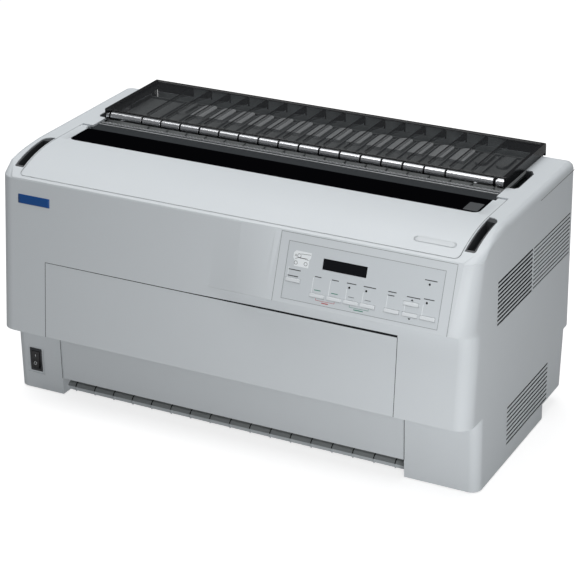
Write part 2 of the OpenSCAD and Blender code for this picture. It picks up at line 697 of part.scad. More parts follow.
glass_t = 2.8;
module top_cover() {
    color(case_grey) body_frame() {
        difference() {
            union() {
                intersection() {
                    difference() {
                        upper_form(0);
                        upper_form(wall);
                    }
                    translate([0, 0, deck_z - 60]) linear_extrude(80)
                        rounded([-lid_w / 2, lid_front_y + seam_gap], [lid_w / 2, lid_axis[0]], 7);
                }
                // Stiffening rim behind the front edge
                intersection() {
                    upper_form(0.2);
                    box([-lid_w / 2 + 12, lid_front_y + 4, front_top_z - 6],
                        [lid_w / 2 - 12, lid_front_y + 4 + wall, deck_z]);
                }
                // Ledge under the window
                box([-window_w / 2 - 1, window_y - 4, deck_z - 5.4],
                    [window_w / 2 + 1, window_y + 5, deck_z - glass_t]);
                both_sides() box([window_w / 2 - 5, window_y - 4, deck_z - 5.4],
                    [lid_w / 2, lid_axis[0] - 6, deck_z - glass_t]);
                // Hinge knuckles at the rear ends of the arms
                both_sides() rod(lid_arm_x[0], lid_arm_x[1], lid_axis, lid_end_r);
            }
            // Window opening, open to the rear between the arms
            box([-window_w / 2 - 0.2, window_y - 0.2, deck_z - glass_t],
                [window_w / 2 + 0.2, lid_axis[0] + 20, deck_z + 10]);
            box([-window_w / 2 + 5, window_y + 5, deck_z - 20],
                [window_w / 2 - 5, lid_axis[0] + 20, deck_z + 10]);
            box([-lid_arm_x[0], window_rear_y, deck_z - 20], [lid_arm_x[0], lid_axis[0] + 20, deck_z + 10]);
            rod(-half, half, lid_axis, lid_pin_r + run_gap);
        }
    }
}

module cover_window() {
    color([0.03, 0.03, 0.035]) body_frame()
        box([-window_w / 2, window_y, deck_z - glass_t], [window_w / 2, window_rear_y, deck_z - 0.3]);
}

module hinge_pins() {
    color("silver") body_frame() {
        both_sides() {
            rod(lid_arm_x[0], lid_boss_x[1] - 1.5, lid_axis, lid_pin_r);
            rod(smoke_w / 2 - smoke_ear_t, exit_half + 8, smoke_axis, smoke_pin_r);
        }
        rod(front_pin_x[0][0], front_pin_x[0][1], front_axis, front_pin_r);
        rod(front_pin_x[1][0], front_pin_x[1][1], front_axis, front_pin_r);
    }
}

smoke_top_z = deck_z + smoke_rise;
divider_first = path_x - 7.5 * rib_pitch;
module exit_cover() {
    side = smoke_w / 2;
    under = smoke_top_z - smoke_t;
    color([0.12, 0.13, 0.14, 0.75]) body_frame() difference() {
        union() {
            // Top plate with a rolled front edge, and the rear wall
            profile_x(-side, side) polygon([[smoke_front_y, under + 0.6], [smoke_front_y + 0.6, under],
                [smoke_rear_y - 5, under],
                [smoke_rear_y - smoke_t, under - 3], [smoke_rear_y - smoke_t, deck_z - 4],
                    [smoke_rear_y, deck_z - 4],
                [smoke_rear_y, smoke_top_z - 4], [smoke_rear_y - 1.2, smoke_top_z - 1.2],
                    [smoke_rear_y - 4, smoke_top_z],
                [smoke_front_y + 1, smoke_top_z], [smoke_front_y, smoke_top_z - 0.8]]);
            // Side walls, each with the ear of its hinge pin
            both_sides() profile_x(side - smoke_t, side) polygon([[bar_axis[0] - 5, deck_z + 0.3],
                [smoke_front_y, under],
                [smoke_rear_y - smoke_t, under], [smoke_rear_y - smoke_t, deck_z + 0.3]]);
            both_sides() {
                rod(side - smoke_ear_t, side - 0.1, smoke_axis, 4);
                box([side - smoke_ear_t, smoke_axis[0] - 4, smoke_axis[1]],
                    [side - 0.1, smoke_axis[0] + 4, deck_z + 6]);
            }
            // Ribs under the plate, deeper towards the rear wall
            for (x = [divider_first : rib_pitch : side - 30])
                profile_x(x - 0.8, x + 0.8) polygon([[bar_axis[0] + 9, under + 0.1],
                    [bar_axis[0] + 12, under - 5],
                    [smoke_rear_y - 40, under - 5], [smoke_rear_y - 12, deck_z + 1.5],
                        [smoke_rear_y - 2, deck_z + 1.5],
                    [smoke_rear_y - 2, under + 0.1]]);
        }
        rod(-half, half, smoke_axis, smoke_pin_r + run_gap);
        both_sides() rod(side - smoke_t - slack, side - 1, bar_axis, tension_shaft_r + run_gap);
        // Finger dimples in the top
        for (p = [[-230, 236], [258, 242]]) translate([p[0], p[1],
            smoke_top_z + 13]) sphere(r = 14, $fn = 32);
    }
}

module tension_shaft() {
    color("silver") body_frame() rod(-smoke_w / 2 + 1.6, smoke_w / 2 - 1.6, bar_axis, tension_shaft_r);
}

// Rollers on the shaft, parted by thin black waists that line up with the cover's ribs
waist_w = 2.6;
module tension_rollers() {
    n = floor((bar_x[1] - divider_first) / rib_pitch);
    waists = concat([bar_x[0]], [for (i = [0 : n]) divider_first + i * rib_pitch], [bar_x[1] + waist_w]);
    color([0.75, 0.76, 0.77]) body_frame() difference() {
        union() {
            rod(bar_x[0], bar_x[1], bar_axis, tension_r - 1.6);
            for (i = [0 : len(waists) - 2]) {
                x0 = waists[i] + (i == 0 ? 0 : waist_w / 2);
                x1 = min(waists[i + 1] - waist_w / 2, bar_x[1]);
                if (x1 > x0 + 4) translate([x0, bar_axis[0], bar_axis[1]]) rotate([0, 90,
                    0]) rotate_extrude($fn = 48)
                    polygon([[tension_r - 2, 0], [tension_r - 0.5, 0], [tension_r, 0.5],
                        [tension_r, x1 - x0 - 0.5],
                        [tension_r - 0.5, x1 - x0], [tension_r - 2, x1 - x0]]);
            }
        }
        rod(bar_x[0] - slack, bar_x[1] + slack, bar_axis, tension_shaft_r);
    }
}

module tension_bushes() {
    side = smoke_w / 2 - smoke_t;
    color("silver") body_frame() difference() {
        union() {
            rod(side - 9, side, bar_axis, tension_r + 0.8);
            rod(side - 11.5, side - 9, bar_axis, tension_r - 1.5);
            rod(-side, -side + 4.5, bar_axis, tension_r - 0.5);
        }
        rod(side - 20, side + slack, bar_axis, tension_shaft_r + run_gap);
        rod(-side - slack, -side + 20, bar_axis, tension_shaft_r + run_gap);
        // Slit of the clip ring at the right end
        box([side - 6.5, bar_axis[0] - 1, bar_axis[1] + 2.5], [side - 3, bar_axis[0] + 9, bar_axis[1] + 10]);
        rod(side - 7.5, side - 2.5, [bar_axis[0] - 9, bar_axis[1] - 9], 6);
    }
}

module tear_bar() {
    teeth = floor((2 * exit_half - 2) / 5);
    w = teeth * 5;
    color([0.75, 0.76, 0.77]) body_frame() {
        box([-w / 2, tear_y - 6, deck_z - 3], [w / 2, tear_y + 1.2, deck_z - 1.8]);
        translate([0, tear_y + 1.2, 0]) rotate([90, 0, 0]) linear_extrude(1.2)
            polygon(concat([[w / 2, deck_z - 8], [w / 2, deck_z - 1.2]],
                [for (i = [0 : teeth - 1]) each [[w / 2 - i * 5 - 1.2, deck_z],
                    [w / 2 - i * 5 - 5, deck_z - 1.2]]],
                [[-w / 2, deck_z - 8]]));
    }
}

module tear_bar_support() {
    color([0.2, 0.21, 0.22]) body_frame() {
        profile_x(-exit_half + 0.3, exit_half - 0.3) polygon([[141.8, deck_z - 4.4], [143, deck_z - 3],
            [tear_y, deck_z - 3], [tear_y, deck_z - 12],
            [tear_y - 2.5, deck_z - 12], [tear_y - 2.5, deck_z - 6], [144.4, deck_z - 6],
                [144.4, deck_z - 14], [141.8, deck_z - 14]]);
        for (x = [left_in + 20 : rib_pitch * 2 : right_in - 10])
            profile_x(x, x + 2) polygon([[144, deck_z - 6.2], [168.7, deck_z - 6.2], [168.7, deck_z - 11],
                [144, deck_z - 11]]);
    }
}

module exit_guide() {
    z = deck_plate_z;
    color([0.1, 0.1, 0.11]) body_frame() {
        profile_x(-exit_half + 3, exit_half - 3) polygon(concat([for (p = guide_curl) [p[0], z + p[1]]],
            [[smoke_axis[0] - 9, z], [smoke_axis[0] - 9, z + 6], [smoke_axis[0] - 11, z + 6],
                [smoke_axis[0] - 11, z + 3], [204, z + 3], [194.5, z - 2.5], [189, z - 13], [188, z - 36]]));
        for (x = [divider_first : rib_pitch : exit_half - 20]) profile_x(x - 0.9, x + 0.9)
            polygon([[204, z + 2.9], [smoke_axis[0] - 14, z + 2.9], [smoke_axis[0] - 14, z + 6],
                [206, z + 6], [197, z + 1.5], [195, z - 2]]);
        // Pale pads between the ribs
        for (x = [divider_first + rib_pitch / 2 : rib_pitch : exit_half - 35])
            translate([x, 258, z + 2.9]) linear_extrude(4.2)
                polygon([[-8, 6], [-6.2, 1.8], [-2, 0], [2, 0], [6.2, 1.8], [8, 6], [8, 38], [-8, 38]]);
    }
}

module front_cover() {
    x0 = -front_cover_left;
    x1 = front_cover_right;
    low = seam_z + 0.3;
    color(case_grey) body_frame() difference() {
        union() {
            profile_x(x0, x1) polygon([[front_y(low), low], [front_y(front_cover_top), front_cover_top],
                [front_y(front_cover_top) + wall, front_cover_top], [front_y(low) + wall, low]]);
            // Rims along the top and bottom, and stiffening ribs
            profile_x(x0, x1) polygon([[front_y(front_cover_top) + 1, front_cover_top],
                [front_y(front_cover_top) + 12, front_cover_top - 2],
                [front_y(front_cover_top) + 12, front_cover_top - 4],
                    [front_y(front_cover_top) + 1, front_cover_top - 3]]);
            for (x = [x0 + 60 : 80 : x1 - 40]) profile_x(x, x + 2) polygon([[front_y(low) + 1, low],
                [front_y(front_cover_top - 3) + 1, front_cover_top - 3],
                    [front_y(front_cover_top - 3) + 9, front_cover_top - 3],
                [front_y(low) + 9, low + 8], [front_y(low) + 5, low]]);
            // Hinge arms with their knuckles
            for (x = [x0 + 3, x1 - 9]) {
                profile_x(x, x + 6) polygon([[front_y(low) + 1, low], [front_y(low + 34) + 1, low + 34],
                    [front_axis[0] + 2, front_axis[1] + 6],
                    [front_axis[0], front_axis[1] - 6], [front_y(low) + 8, low]]);
                rod(x, x + 6, front_axis, 6);
            }
        }
        rod(-half, half, front_axis, front_pin_r + run_gap);
    }
}

module switch_frame() {
    color([0.1, 0.1, 0.11]) body_frame() translate([switch_at[0], 1.2, switch_at[1]]) difference() {
        union() {
            box([-9.3, -1.4, -17.2], [9.3, 0, 17.2]);
            box([-switch_hole[0] / 2, 0, -switch_hole[1] / 2], [switch_hole[0] / 2, 24, switch_hole[1] / 2]);
        }
        box([-6.7, -2, -13.5], [6.7, 14, 13.5]);
        rod(-8.5, 8.5, [6, 0], 1.5 + run_gap);
    }
    // Blade contacts behind the switch
    color("silver") body_frame() translate([switch_at[0], 25.2, switch_at[1]])
        for (z = [-9, 0, 9]) box([-3, 0, z - 0.4], [3, 8, z + 0.4]);
}

rocker_tilt = 8;
module power_rocker() {
    color([0.12, 0.12, 0.13]) body_frame() translate([switch_at[0],
        7.2, switch_at[1]]) rotate([-rocker_tilt, 0, 0]) {
        difference() {
            profile_x(-6.2, 6.2) polygon([[-9.6, -11.9], [-8.3, 0], [-9.6, 11.9], [-4, 12.2], [3, 6],
                [3, -6], [-4, -12.2]]);
            // Tactile marks in the two halves of the rocker
            translate([0, -9.6, 6.5]) rotate([90, 0, 0]) cylinder(r = 2.2, h = 2, center = true, $fn = 32);
        }
        rod(-8.3, 8.3, [0, 0], 1.5);
    }
}

// One steel side frame: the outline in y and z, with its bores and lightening holes
module side_frame(x) {
    bottom = pan_z + pan_t;
    difference() {
        profile_x(x, x + frame_t) polygon([[66, bottom], [214, bottom], [214, 60], [285, seam_z + 6],
            [285, platen_at[1] - 80],
            [244, deck_plate_z], [tear_y + 5, deck_plate_z], [tear_y + 5, deck_z - 13],
                [tear_y - 3, deck_z - 13],
            [tear_y - 3, deck_z - 6], [150, deck_z - 6], [150, platen_at[1] + 38],
            [12, platen_at[1] + 38], [12, seam_z + 12], [66, seam_z - 4]]);
        rod(x - slack, x + frame_t + slack, platen_at, platen_shaft_r + run_gap);
        rod(x - slack, x + frame_t + slack, main_shaft_at, main_shaft_r);
        rod(x - slack, x + frame_t + slack, side_shaft_at, side_shaft_r);
        rod(x - slack, x + frame_t + slack, tractor_shaft_at, tractor_shaft_r);
        rod(x - slack, x + frame_t + slack, square_at, square_side / 2 + run_gap);
        // Slot for the rolled edge of the exit guide
        profile_x(x - slack, x + frame_t + slack) polygon(concat(
            [[guide_curl[0][0] - 2.6, deck_plate_z + slack], [guide_curl[0][0] - 2.6, deck_plate_z - 37]],
            [for (p = guide_curl) [p[0] + guide_slot, deck_plate_z + p[1] - guide_slot]],
            [[guide_curl[3][0] + guide_slot, deck_plate_z + slack]]));
        rod(x - slack, x + frame_t + slack, [105, 60], 22);
        rod(x - slack, x + frame_t + slack, [170, 60], 22);
        profile_x(x - slack, x + frame_t + slack) polygon([[214, seam_z + 24], [262, seam_z + 24],
            [262, platen_at[1] - 86], [240, platen_at[1] - 40], [214, platen_at[1] - 60]]);
    }
}

module left_side_frame() {
    x = left_in - frame_t;
    color([0.7, 0.71, 0.72]) body_frame() {
        side_frame(x);
        box([x + frame_t, 80, pan_z + pan_t], [x + frame_t + 12, 200, pan_z + pan_t + 2]);
        // Bracket and fixed pin of the idler pulley
        box([left_in, belt_y - 16, pulley_plate_z], [pulley_x[0] + 14, belt_y + 16, pulley_plate_z + 3]);
        translate([pulley_x[0], belt_y, pulley_plate_z + 3]) cylinder(r = 6, h = 1.5);
        translate([pulley_x[0], belt_y, pulley_plate_z + 3]) cylinder(r = pulley_pin_r, h = 18);
    }
}

module right_side_frame() {
    color([0.7, 0.71, 0.72]) body_frame() {
        side_frame(right_in);
        box([right_in - 12, 80, pan_z + pan_t], [right_in, 200, pan_z + pan_t + 2]);
        // Stub axle of the idler gear
        rod(right_in + frame_t, gear_x + gear_w + 2, idler_at, 4);
        rod(right_in + frame_t, gear_x - 0.5, idler_at, 7);
    }
}

module platen() {
    color([0.1, 0.1, 0.1]) body_frame() difference() {
        rod(left_in + 8, right_in - 8, platen_at, platen_r);
        rod(left_in, right_in, platen_at, platen_shaft_r);
    }
}

module platen_shaft() {
    color("silver") body_frame() {
        rod(left_in - frame_t - 5, gear_x + gear_w + 4, platen_at, platen_shaft_r);
        rod(left_in + 4, left_in + 8, platen_at, platen_shaft_r + 4);
        rod(right_in - 8, right_in - 4, platen_at, platen_shaft_r + 4);
    }
}

module guide_shafts() {
    color("silver") body_frame() {
        rod(left_in - frame_t, right_in + frame_t, main_shaft_at, main_shaft_r);
        rod(left_in - frame_t, right_in + frame_t, side_shaft_at, side_shaft_r);
        rod(left_in - frame_t, right_in + frame_t, tractor_shaft_at, tractor_shaft_r);
    }
}

module carriage() {
    z = main_shaft_at[1];
    x0 = carriage_x - carriage_l / 2;
    x1 = carriage_x + carriage_l / 2;
    color([0.16, 0.16, 0.17]) body_frame() difference() {
        union() {
            profile_x(x0, x1) polygon([[side_shaft_at[0] - 10, z - 9], [side_shaft_at[0] - 10, z + 9],
                [side_shaft_at[0] + 2, z + 18],
                [main_shaft_at[0] + 12, z + 18], [main_shaft_at[0] + 15, z + 10],
                    [main_shaft_at[0] + 15, z - 11], [main_shaft_at[0] + 9, z - 14],
                [main_shaft_at[0] - 9, z - 14], [main_shaft_at[0] - 14, z - 4],
                    [side_shaft_at[0] + 12, z - 4], [side_shaft_at[0] + 8, z - 9]]);
            // Clamp that grips the front run of the belt
            box([carriage_x - 14, belt_y - pulley_r - 7, z - 30],
                [carriage_x + 14, belt_y - pulley_r + 6, z - 3]);
        }
        rod(x0 - slack, x1 + slack, main_shaft_at, main_shaft_r + run_gap);
        rod(x0 - slack, x1 + slack, side_shaft_at, side_shaft_r + run_gap);
        box([x0, belt_y - pulley_r - belt_gap - belt_t - 0.5, z - 31],
            [x1, belt_y - pulley_r - belt_gap + 0.5, z - 18]);
        // Hollow under the deck of the carriage
        box([x0 + 6, side_shaft_at[0] + 13, z - 4 - slack], [carriage_x - 16, main_shaft_at[0] - 15, z + 12]);
        box([carriage_x + 16, side_shaft_at[0] + 13, z - 4 - slack], [x1 - 6, main_shaft_at[0] - 15, z + 12]);
    }
}

// The print head: a finned block, a nose that reaches the ribbon, and a base plate
module print_head() {
    z = main_shaft_at[1] + 18;
    nose_y = platen_at[0] - platen_r - 4.5;
    color([0.3, 0.31, 0.33]) body_frame() {
        box([carriage_x - 24, 90, z], [carriage_x + 24, 150, z + 4]);
        box([carriage_x - 16, 96, z + 4], [carriage_x + 16, 148, z + 34]);
        for (i = [0 : 6]) box([carriage_x - 22, 97 + i * 7.5, z + 4],
            [carriage_x + 22, 99.6 + i * 7.5, z + 38]);
        profile_x(carriage_x - 7, carriage_x + 7) polygon([[147, z + 4], [nose_y, z + 6],
            [nose_y, z + 18], [147, z + 26]]);
    }
}

module drive_belt() {
    inner = pulley_r + belt_gap;
    color([0.08, 0.08, 0.08]) body_frame() translate([0, belt_y, belt_z - belt_w / 2 + 3]) difference() {
        union() {
            for (x = pulley_x) translate([x, 0, 0]) cylinder(r = inner + belt_t, h = belt_w - 2);
            box([pulley_x[0], -inner - belt_t, 0], [pulley_x[1], inner + belt_t, belt_w - 2]);
        }
        for (x = pulley_x) translate([x, 0, -slack]) cylinder(r = inner, h = belt_w + 2);
        box([pulley_x[0], -inner, -slack], [pulley_x[1], inner, belt_w + 2]);
    }
}

module carriage_motor() {
    z = pulley_plate_z;
    color([0.25, 0.26, 0.28]) body_frame() translate([pulley_x[1], belt_y, z]) difference() {
        union() {
            translate([0, 0, -50]) cylinder(r = motor_r, h = 46);
            translate([0, 0, -4]) cylinder(r = motor_r - 4, h = 4);
            box([-28, -28, 0], [right_in - pulley_x[1], 28, 3]);
            translate([0, 0, 3]) cylinder(r = 8, h = 1.5);
            // Bent flange of the bracket against the side frame
            box([right_in - pulley_x[1] - 2, -28, -24], [right_in - pulley_x[1], 28, 0]);
        }
        translate([0, 0, -30]) cylinder(r = pulley_pin_r + run_gap, h = 40);
    }
}

// A flanged pulley with a grooved rim
module belt_pulley() {
    rotate_extrude() polygon([[0, 0], [pulley_r + 2.5, 0], [pulley_r + 2.5, 0.8], [pulley_r, 1.4],
        [pulley_r, belt_w + 0.8],
        [pulley_r + 2.5, belt_w + 1.4], [pulley_r + 2.5, belt_w + 2.2], [0, belt_w + 2.2]]);
}

module drive_pulley() {
    color([0.75, 0.75, 0.76]) body_frame() translate([pulley_x[1], belt_y, pulley_plate_z + 5]) {
        belt_pulley();
        translate([0, 0, -26]) cylinder(r = pulley_pin_r, h = 26.5);
        translate([0, 0, belt_w + 2]) cylinder(r = 6, h = 3);
    }
}

module idler_pulley() {
    color([0.75, 0.75, 0.76]) body_frame() translate([pulley_x[0], belt_y, pulley_plate_z + 5]) difference() {
        belt_pulley();
        translate([0, 0, -slack]) cylinder(r = pulley_pin_r + run_gap, h = belt_w + 5);
    }
}

// The ribbon cartridge: a long box that lies before the carriage, two arms, and the strip between their tips
module ribbon_cartridge() {
    z0 = platen_at[1] + 6;
    z1 = platen_at[1] + 46;
    tip_y = platen_at[0] - platen_r - 3;
    strip = [platen_at[1] - 7, platen_at[1] + 7];
    color([0.09, 0.09, 0.1]) body_frame() {
        difference() {
            union() {
                box([left_in, 24, z0 + 6], [right_in, 66, z0 + 12]);
                profile_x(left_in + 4, right_in - 4) polygon([[20, z0 + 4], [20, z1 - 4], [26, z1],
                    [64, z1], [70, z1 - 4], [70, z0], [24, z0]]);
            }
            // Chambers of the ribbon reels, seen as shallow rounds in the lid
            for (x = [left_in + 90, right_in - 90]) translate([x, 45, z1 - 1]) cylinder(r = 18, h = 5);
            translate([path_x, 45, z1 - 1]) cylinder(r = 12, h = 5);
        }
        for (x = [left_in + 4, right_in - 22]) {
            difference() {
                profile_x(x, x + 18) polygon([[69, z0 + 2], [69, z1 - 8], [120, z1 - 14],
                    [tip_y - 0.4, strip[1] + 3], [tip_y - 0.4, strip[0] - 3],
                    [tip_y - 14, strip[0] - 3], [118, z0 + 2]]);
                profile_x(x + 3, x + 15) polygon([[76, z0 + 5], [76, z1 - 12], [118, z1 - 18],
                    [tip_y - 16, strip[1] - 3], [tip_y - 16, strip[0] + 4], [122, z0 + 5]]);
            }
        }
        box([left_in + 4, tip_y - 0.4, strip[0]], [right_in - 4, tip_y, strip[1]]);
    }
}

// A spur gear in y and z: teeth with curved flanks, thinned a little for backlash
function involute(rb, r) = let (a = sqrt(max(0, r * r / (rb * rb) - 1))) a * 180 / PI - atan(a);
module spur_gear(x0, at, n, phase, bore) {
    r = gear_m * n / 2;
    rb = r * cos(20);
    tip = r + gear_m * 0.95;
    root = r - gear_m * 1.2;
    lean = 90 / n - 1.1 / r * 0.16 * 180 / PI * 0.5 + involute(rb, r);
    low = max(root, rb);
    radii = [low, (low + r) / 2, r, (r + tip) / 2, tip];
    flank = [for (q = radii) [q, lean - involute(rb, q)]];
    tooth = concat([[root, lean + 0.3]], flank, [for (i = [4 : -1 : 0]) [flank[i][0], -flank[i][1]]],
        [[root, -lean - 0.3]]);
    outline = [for (i = [0 : n - 1]) for (k = [11 : -1 : 0])
        let (a = phase + i * 360 / n + tooth[k][1]) tooth[k][0] * [cos(a), sin(a)]];
    difference() {
        profile_x(x0, x0 + gear_w) translate(at) polygon(outline);
        rod(x0 - slack, x0 + gear_w + slack, at, bore);
    }
}

module platen_gear() {
    color([0.9, 0.9, 0.86]) body_frame() difference() {
        spur_gear(gear_x, platen_at, platen_teeth, platen_phase, platen_shaft_r);
        for (a = [0 : 60 : 300]) rod(gear_x - slack, gear_x + gear_w + slack, platen_at + 21.5 * [cos(a),
            sin(a)], 6);
    }
}

standoff_turn = [110, 170, 340];
module feed_motor() {
    x = gear_x + gear_w + 4;
    color([0.25, 0.26, 0.28]) body_frame() difference() {
        union() {
            rod(x + 3, half - wall - 12, pinion_at, 26);
            rod(x, x + 3, pinion_at, 27);
            // Standoffs to the side frame, clear of the gears
            for (a = standoff_turn)
                profile_x(x, x + 3) hull() {
                    translate(pinion_at) circle(10);
                    translate(pinion_at + 46 * [cos(a), sin(a)]) circle(6);
                }
            for (a = standoff_turn) rod(right_in + frame_t, x + 1, pinion_at + 46 * [cos(a), sin(a)], 4);
        }
        rod(x - slack, x + 20, pinion_at, 3 + run_gap);
    }
}

module feed_pinion() {
    color([0.78, 0.68, 0.4]) body_frame() {
        spur_gear(gear_x, pinion_at, pinion_teeth, pinion_phase, 3);
        rod(gear_x, gear_x + gear_w + 18, pinion_at, 3);
    }
}

module idler_gear() {
    color([0.9, 0.9, 0.86]) body_frame() difference() {
        spur_gear(gear_x, idler_at, idler_teeth, idler_phase, 4 + run_gap);
        for (a = [30 : 60 : 330]) rod(gear_x - slack, gear_x + gear_w + slack, idler_at + 23 * [cos(a),
            sin(a)], 8);
    }
}

module front_drive_shaft() {
    s = square_side / 2;
    color("silver") body_frame() {
        profile_x(left_in + 2, right_in - 2) translate(square_at) polygon([[-s, -s], [s, -s], [s, s],
            [-s, s]]);
        rod(left_in - frame_t - 4, left_in + 2, square_at, s);
        rod(right_in - 2, gear_x + gear_w + 4, square_at, s);
    }
    color([0.9, 0.9, 0.86]) body_frame() spur_gear(gear_x, square_at, tractor_teeth, tractor_phase, s);
}

// A tractor: two cheeks joined by a bridge, a closed paper flap over the pins, and a lock knob
module tractor(x) {
    cheek = 5;
    w = tractor_w / 2;
    up = away(tractor_shaft_at, square_at);
    color([0.2, 0.2, 0.22]) body_frame() difference() {
        union() {
            for (side = [x - w, x + w - cheek]) profile_x(side, side + cheek) hull() {
                translate(tractor_shaft_at) circle(11);
                translate(square_at) circle(12);
            }
            rod(x - w, x + w, tractor_shaft_at, 10);
            // Paper flap that lies over the pins
            profile_x(x - w, x + w) translate(tractor_shaft_at) rotate(up)
                polygon([[14, 17.2], [64, 17.2], [66, 19.5], [12, 19.5], [-3, 9], [3, 8]]);
            for (side = [x - w, x + w - 3]) profile_x(side, side + 3) translate(tractor_shaft_at) rotate(up)
                polygon([[10, 8], [30, 8], [30, 18], [12, 18]]);
            rod(x - w - 6, x - w, tractor_shaft_at, 9);
        }
        rod(x - w - 20, x + w + slack, tractor_shaft_at, tractor_shaft_r + run_gap);
        rod(x - w - slack, x + w + slack, square_at, hub_r + run_gap);
    }
}
module front_tractor_left() { tractor(tractor_x[0]); }
module front_tractor_right() { tractor(tractor_x[1]); }

// A pin wheel: seven tapered pins at the paper's half-inch hole spacing, on a hub with a square hole
module sprocket(x) {
    w = tractor_w / 2;
    s = square_side / 2 + 0.3;
    color([0.85, 0.85, 0.83]) body_frame() difference() {
        union() {
            rod(x - w, x + w, square_at, hub_r);
            rod(x - w + 5.6, x + w - 5.6, square_at, sprocket_r - 2);
            for (i = [0 : pin_count - 1]) translate([x, square_at[0], square_at[1]])
                rotate([i * 360 / pin_count, 0, 0]) translate([0, 0, sprocket_r - 3]) cylinder(r1 = 1.9,
                    r2 = 1.2, h = 4.6, $fn = 24);
        }
        profile_x(x - w - slack, x + w + slack) translate(square_at) polygon([[-s, -s], [s, -s], [s, s],
            [-s, s]]);
    }
}
module front_sprocket_left() { sprocket(tractor_x[0]); }
module front_sprocket_right() { sprocket(tractor_x[1]); }

module power_supply() {
    x0 = left_in + 14;
    x1 = path_x - 46;
    z0 = pan_z + pan_t;
    color([0.68, 0.69, 0.7]) body_frame() {
        difference() {
            box([x0, 84, z0], [x1, 210, z0 + 70]);
            box([x0 + 1.2, 85.2, z0 + 1.2], [x1 - 1.2, 208.8, z0 + 68.8]);
            for (x = [x0 + 16 : 12 : x1 - 20]) box([x, 100, z0 + 60], [x + 4, 194, z0 + 72]);
            for (x = [x0 + 16 : 12 : x1 - 20]) box([x, 80, z0 + 14], [x + 4, 90, z0 + 56]);
        }
        // Transformer and capacitors inside the cage
        box([x0 + 20, 110, z0 + 1.2], [x0 + 80, 165, z0 + 50]);
        for (i = [0 : 2]) translate([x0 + 110 + i * 28, 150, z0 + 1.2]) cylinder(r = 11, h = 40);
    }
}

module main_board() {
    z = overhang_z + 6.6;
    color([0.1, 0.35, 0.2]) body_frame() {
        box([path_x - 30, 92, z], [right_in - 6, base_rear_low - 8, z + board_t]);
        for (x = [path_x - 24, right_in - 18], y = [98, 200]) translate([x, y,
            pan_z + pan_t]) cylinder(r = 3, h = z - pan_z - pan_t);
    }
    color([0.15, 0.15, 0.16]) body_frame() {
        for (i = [0 : 3]) box([path_x + 10 + i * 44, 120, z + board_t],
            [path_x + 40 + i * 44, 148, z + board_t + 3]);
        box([path_x - 20, 180, z + board_t], [path_x + 30, 200, z + board_t + 22]);
        for (i = [0 : 4]) translate([path_x + 60 + i * 24, 190, z + board_t]) cylinder(r = 8, h = 26);
    }
    // Interface sockets at the rear edge
    color("silver") body_frame() for (s = [[path_x + 100, 66, 13], [path_x + 176, 14, 12]]) difference() {
        box([s[0], socket_rear_y - 21, z + board_t], [s[0] + s[1], socket_rear_y, z + board_t + s[2]]);
        box([s[0] + 1.5, socket_rear_y - 11, z + board_t + 1.5],
            [s[0] + s[1] - 1.5, socket_rear_y + slack, z + board_t + s[2] - 1.5]);
    }
}

module cooling_fan() {
    f = fan_side / 2;
    color([0.13, 0.13, 0.14]) body_frame() translate(fan_at) rotate([90, 0, 0]) difference() {
        union() {
            difference() {
                linear_extrude(fan_d) difference() {
                    rounded([-f, -f], [f, f], 5);
                    circle(fan_bore_r);
                }
                for (x = [-f + 5, f - 5], y = [-f + 5, f - 5]) translate([x, y, -slack]) cylinder(r = 2.2,
                    h = fan_d + 2);
            }
            // Motor cup and its three struts, on the wall side
            cylinder(r = 15, h = 3.4);
            for (a = [30 : 120 : 270]) rotate(a) box([12, -2, 0.4], [fan_bore_r + 0.5, 2, 3.4]);
        }
        translate([0, 0, 0.8]) cylinder(r = 1.5 + run_gap, h = 10);
    }
}

module fan_rotor() {
    color([0.16, 0.16, 0.17]) body_frame() translate(fan_at) rotate([90, 0, 0]) {
        translate([0, 0, 4]) cylinder(r = 16, h = fan_d - 5);
        translate([0, 0, 1]) cylinder(r = 1.5, h = 4);
        for (a = [0 : 360 / 7 : 359]) rotate(a) rotate([32, 0, 0])
            box([14, -1, 6], [fan_bore_r - 3, 1, fan_d - 4]);
    }
}

module power_inlet() {
    x = (inlet_x[0] + inlet_x[1]) / 2;
    z = (inlet_z[0] + inlet_z[1]) / 2;
    color([0.09, 0.09, 0.1]) body_frame() translate([x, inlet_plane_y, z]) {
        difference() {
            union() {
                box([-18.5, 0, -14.5], [18.5, 2, 14.5]);
                box([-15, -24, -11], [15, 0, 11]);
            }
            box([-12.4, -16, -8.2], [12.4, 3, 8.2]);
        }
    }
    color("silver") body_frame() translate([x, inlet_plane_y, z]) for (p = [[-7, -1.5], [0, 2.5], [7, -1.5]])
        box([p[0] - 1, -17, p[1] - 2], [p[0] + 1, -4, p[1] + 2]);
}

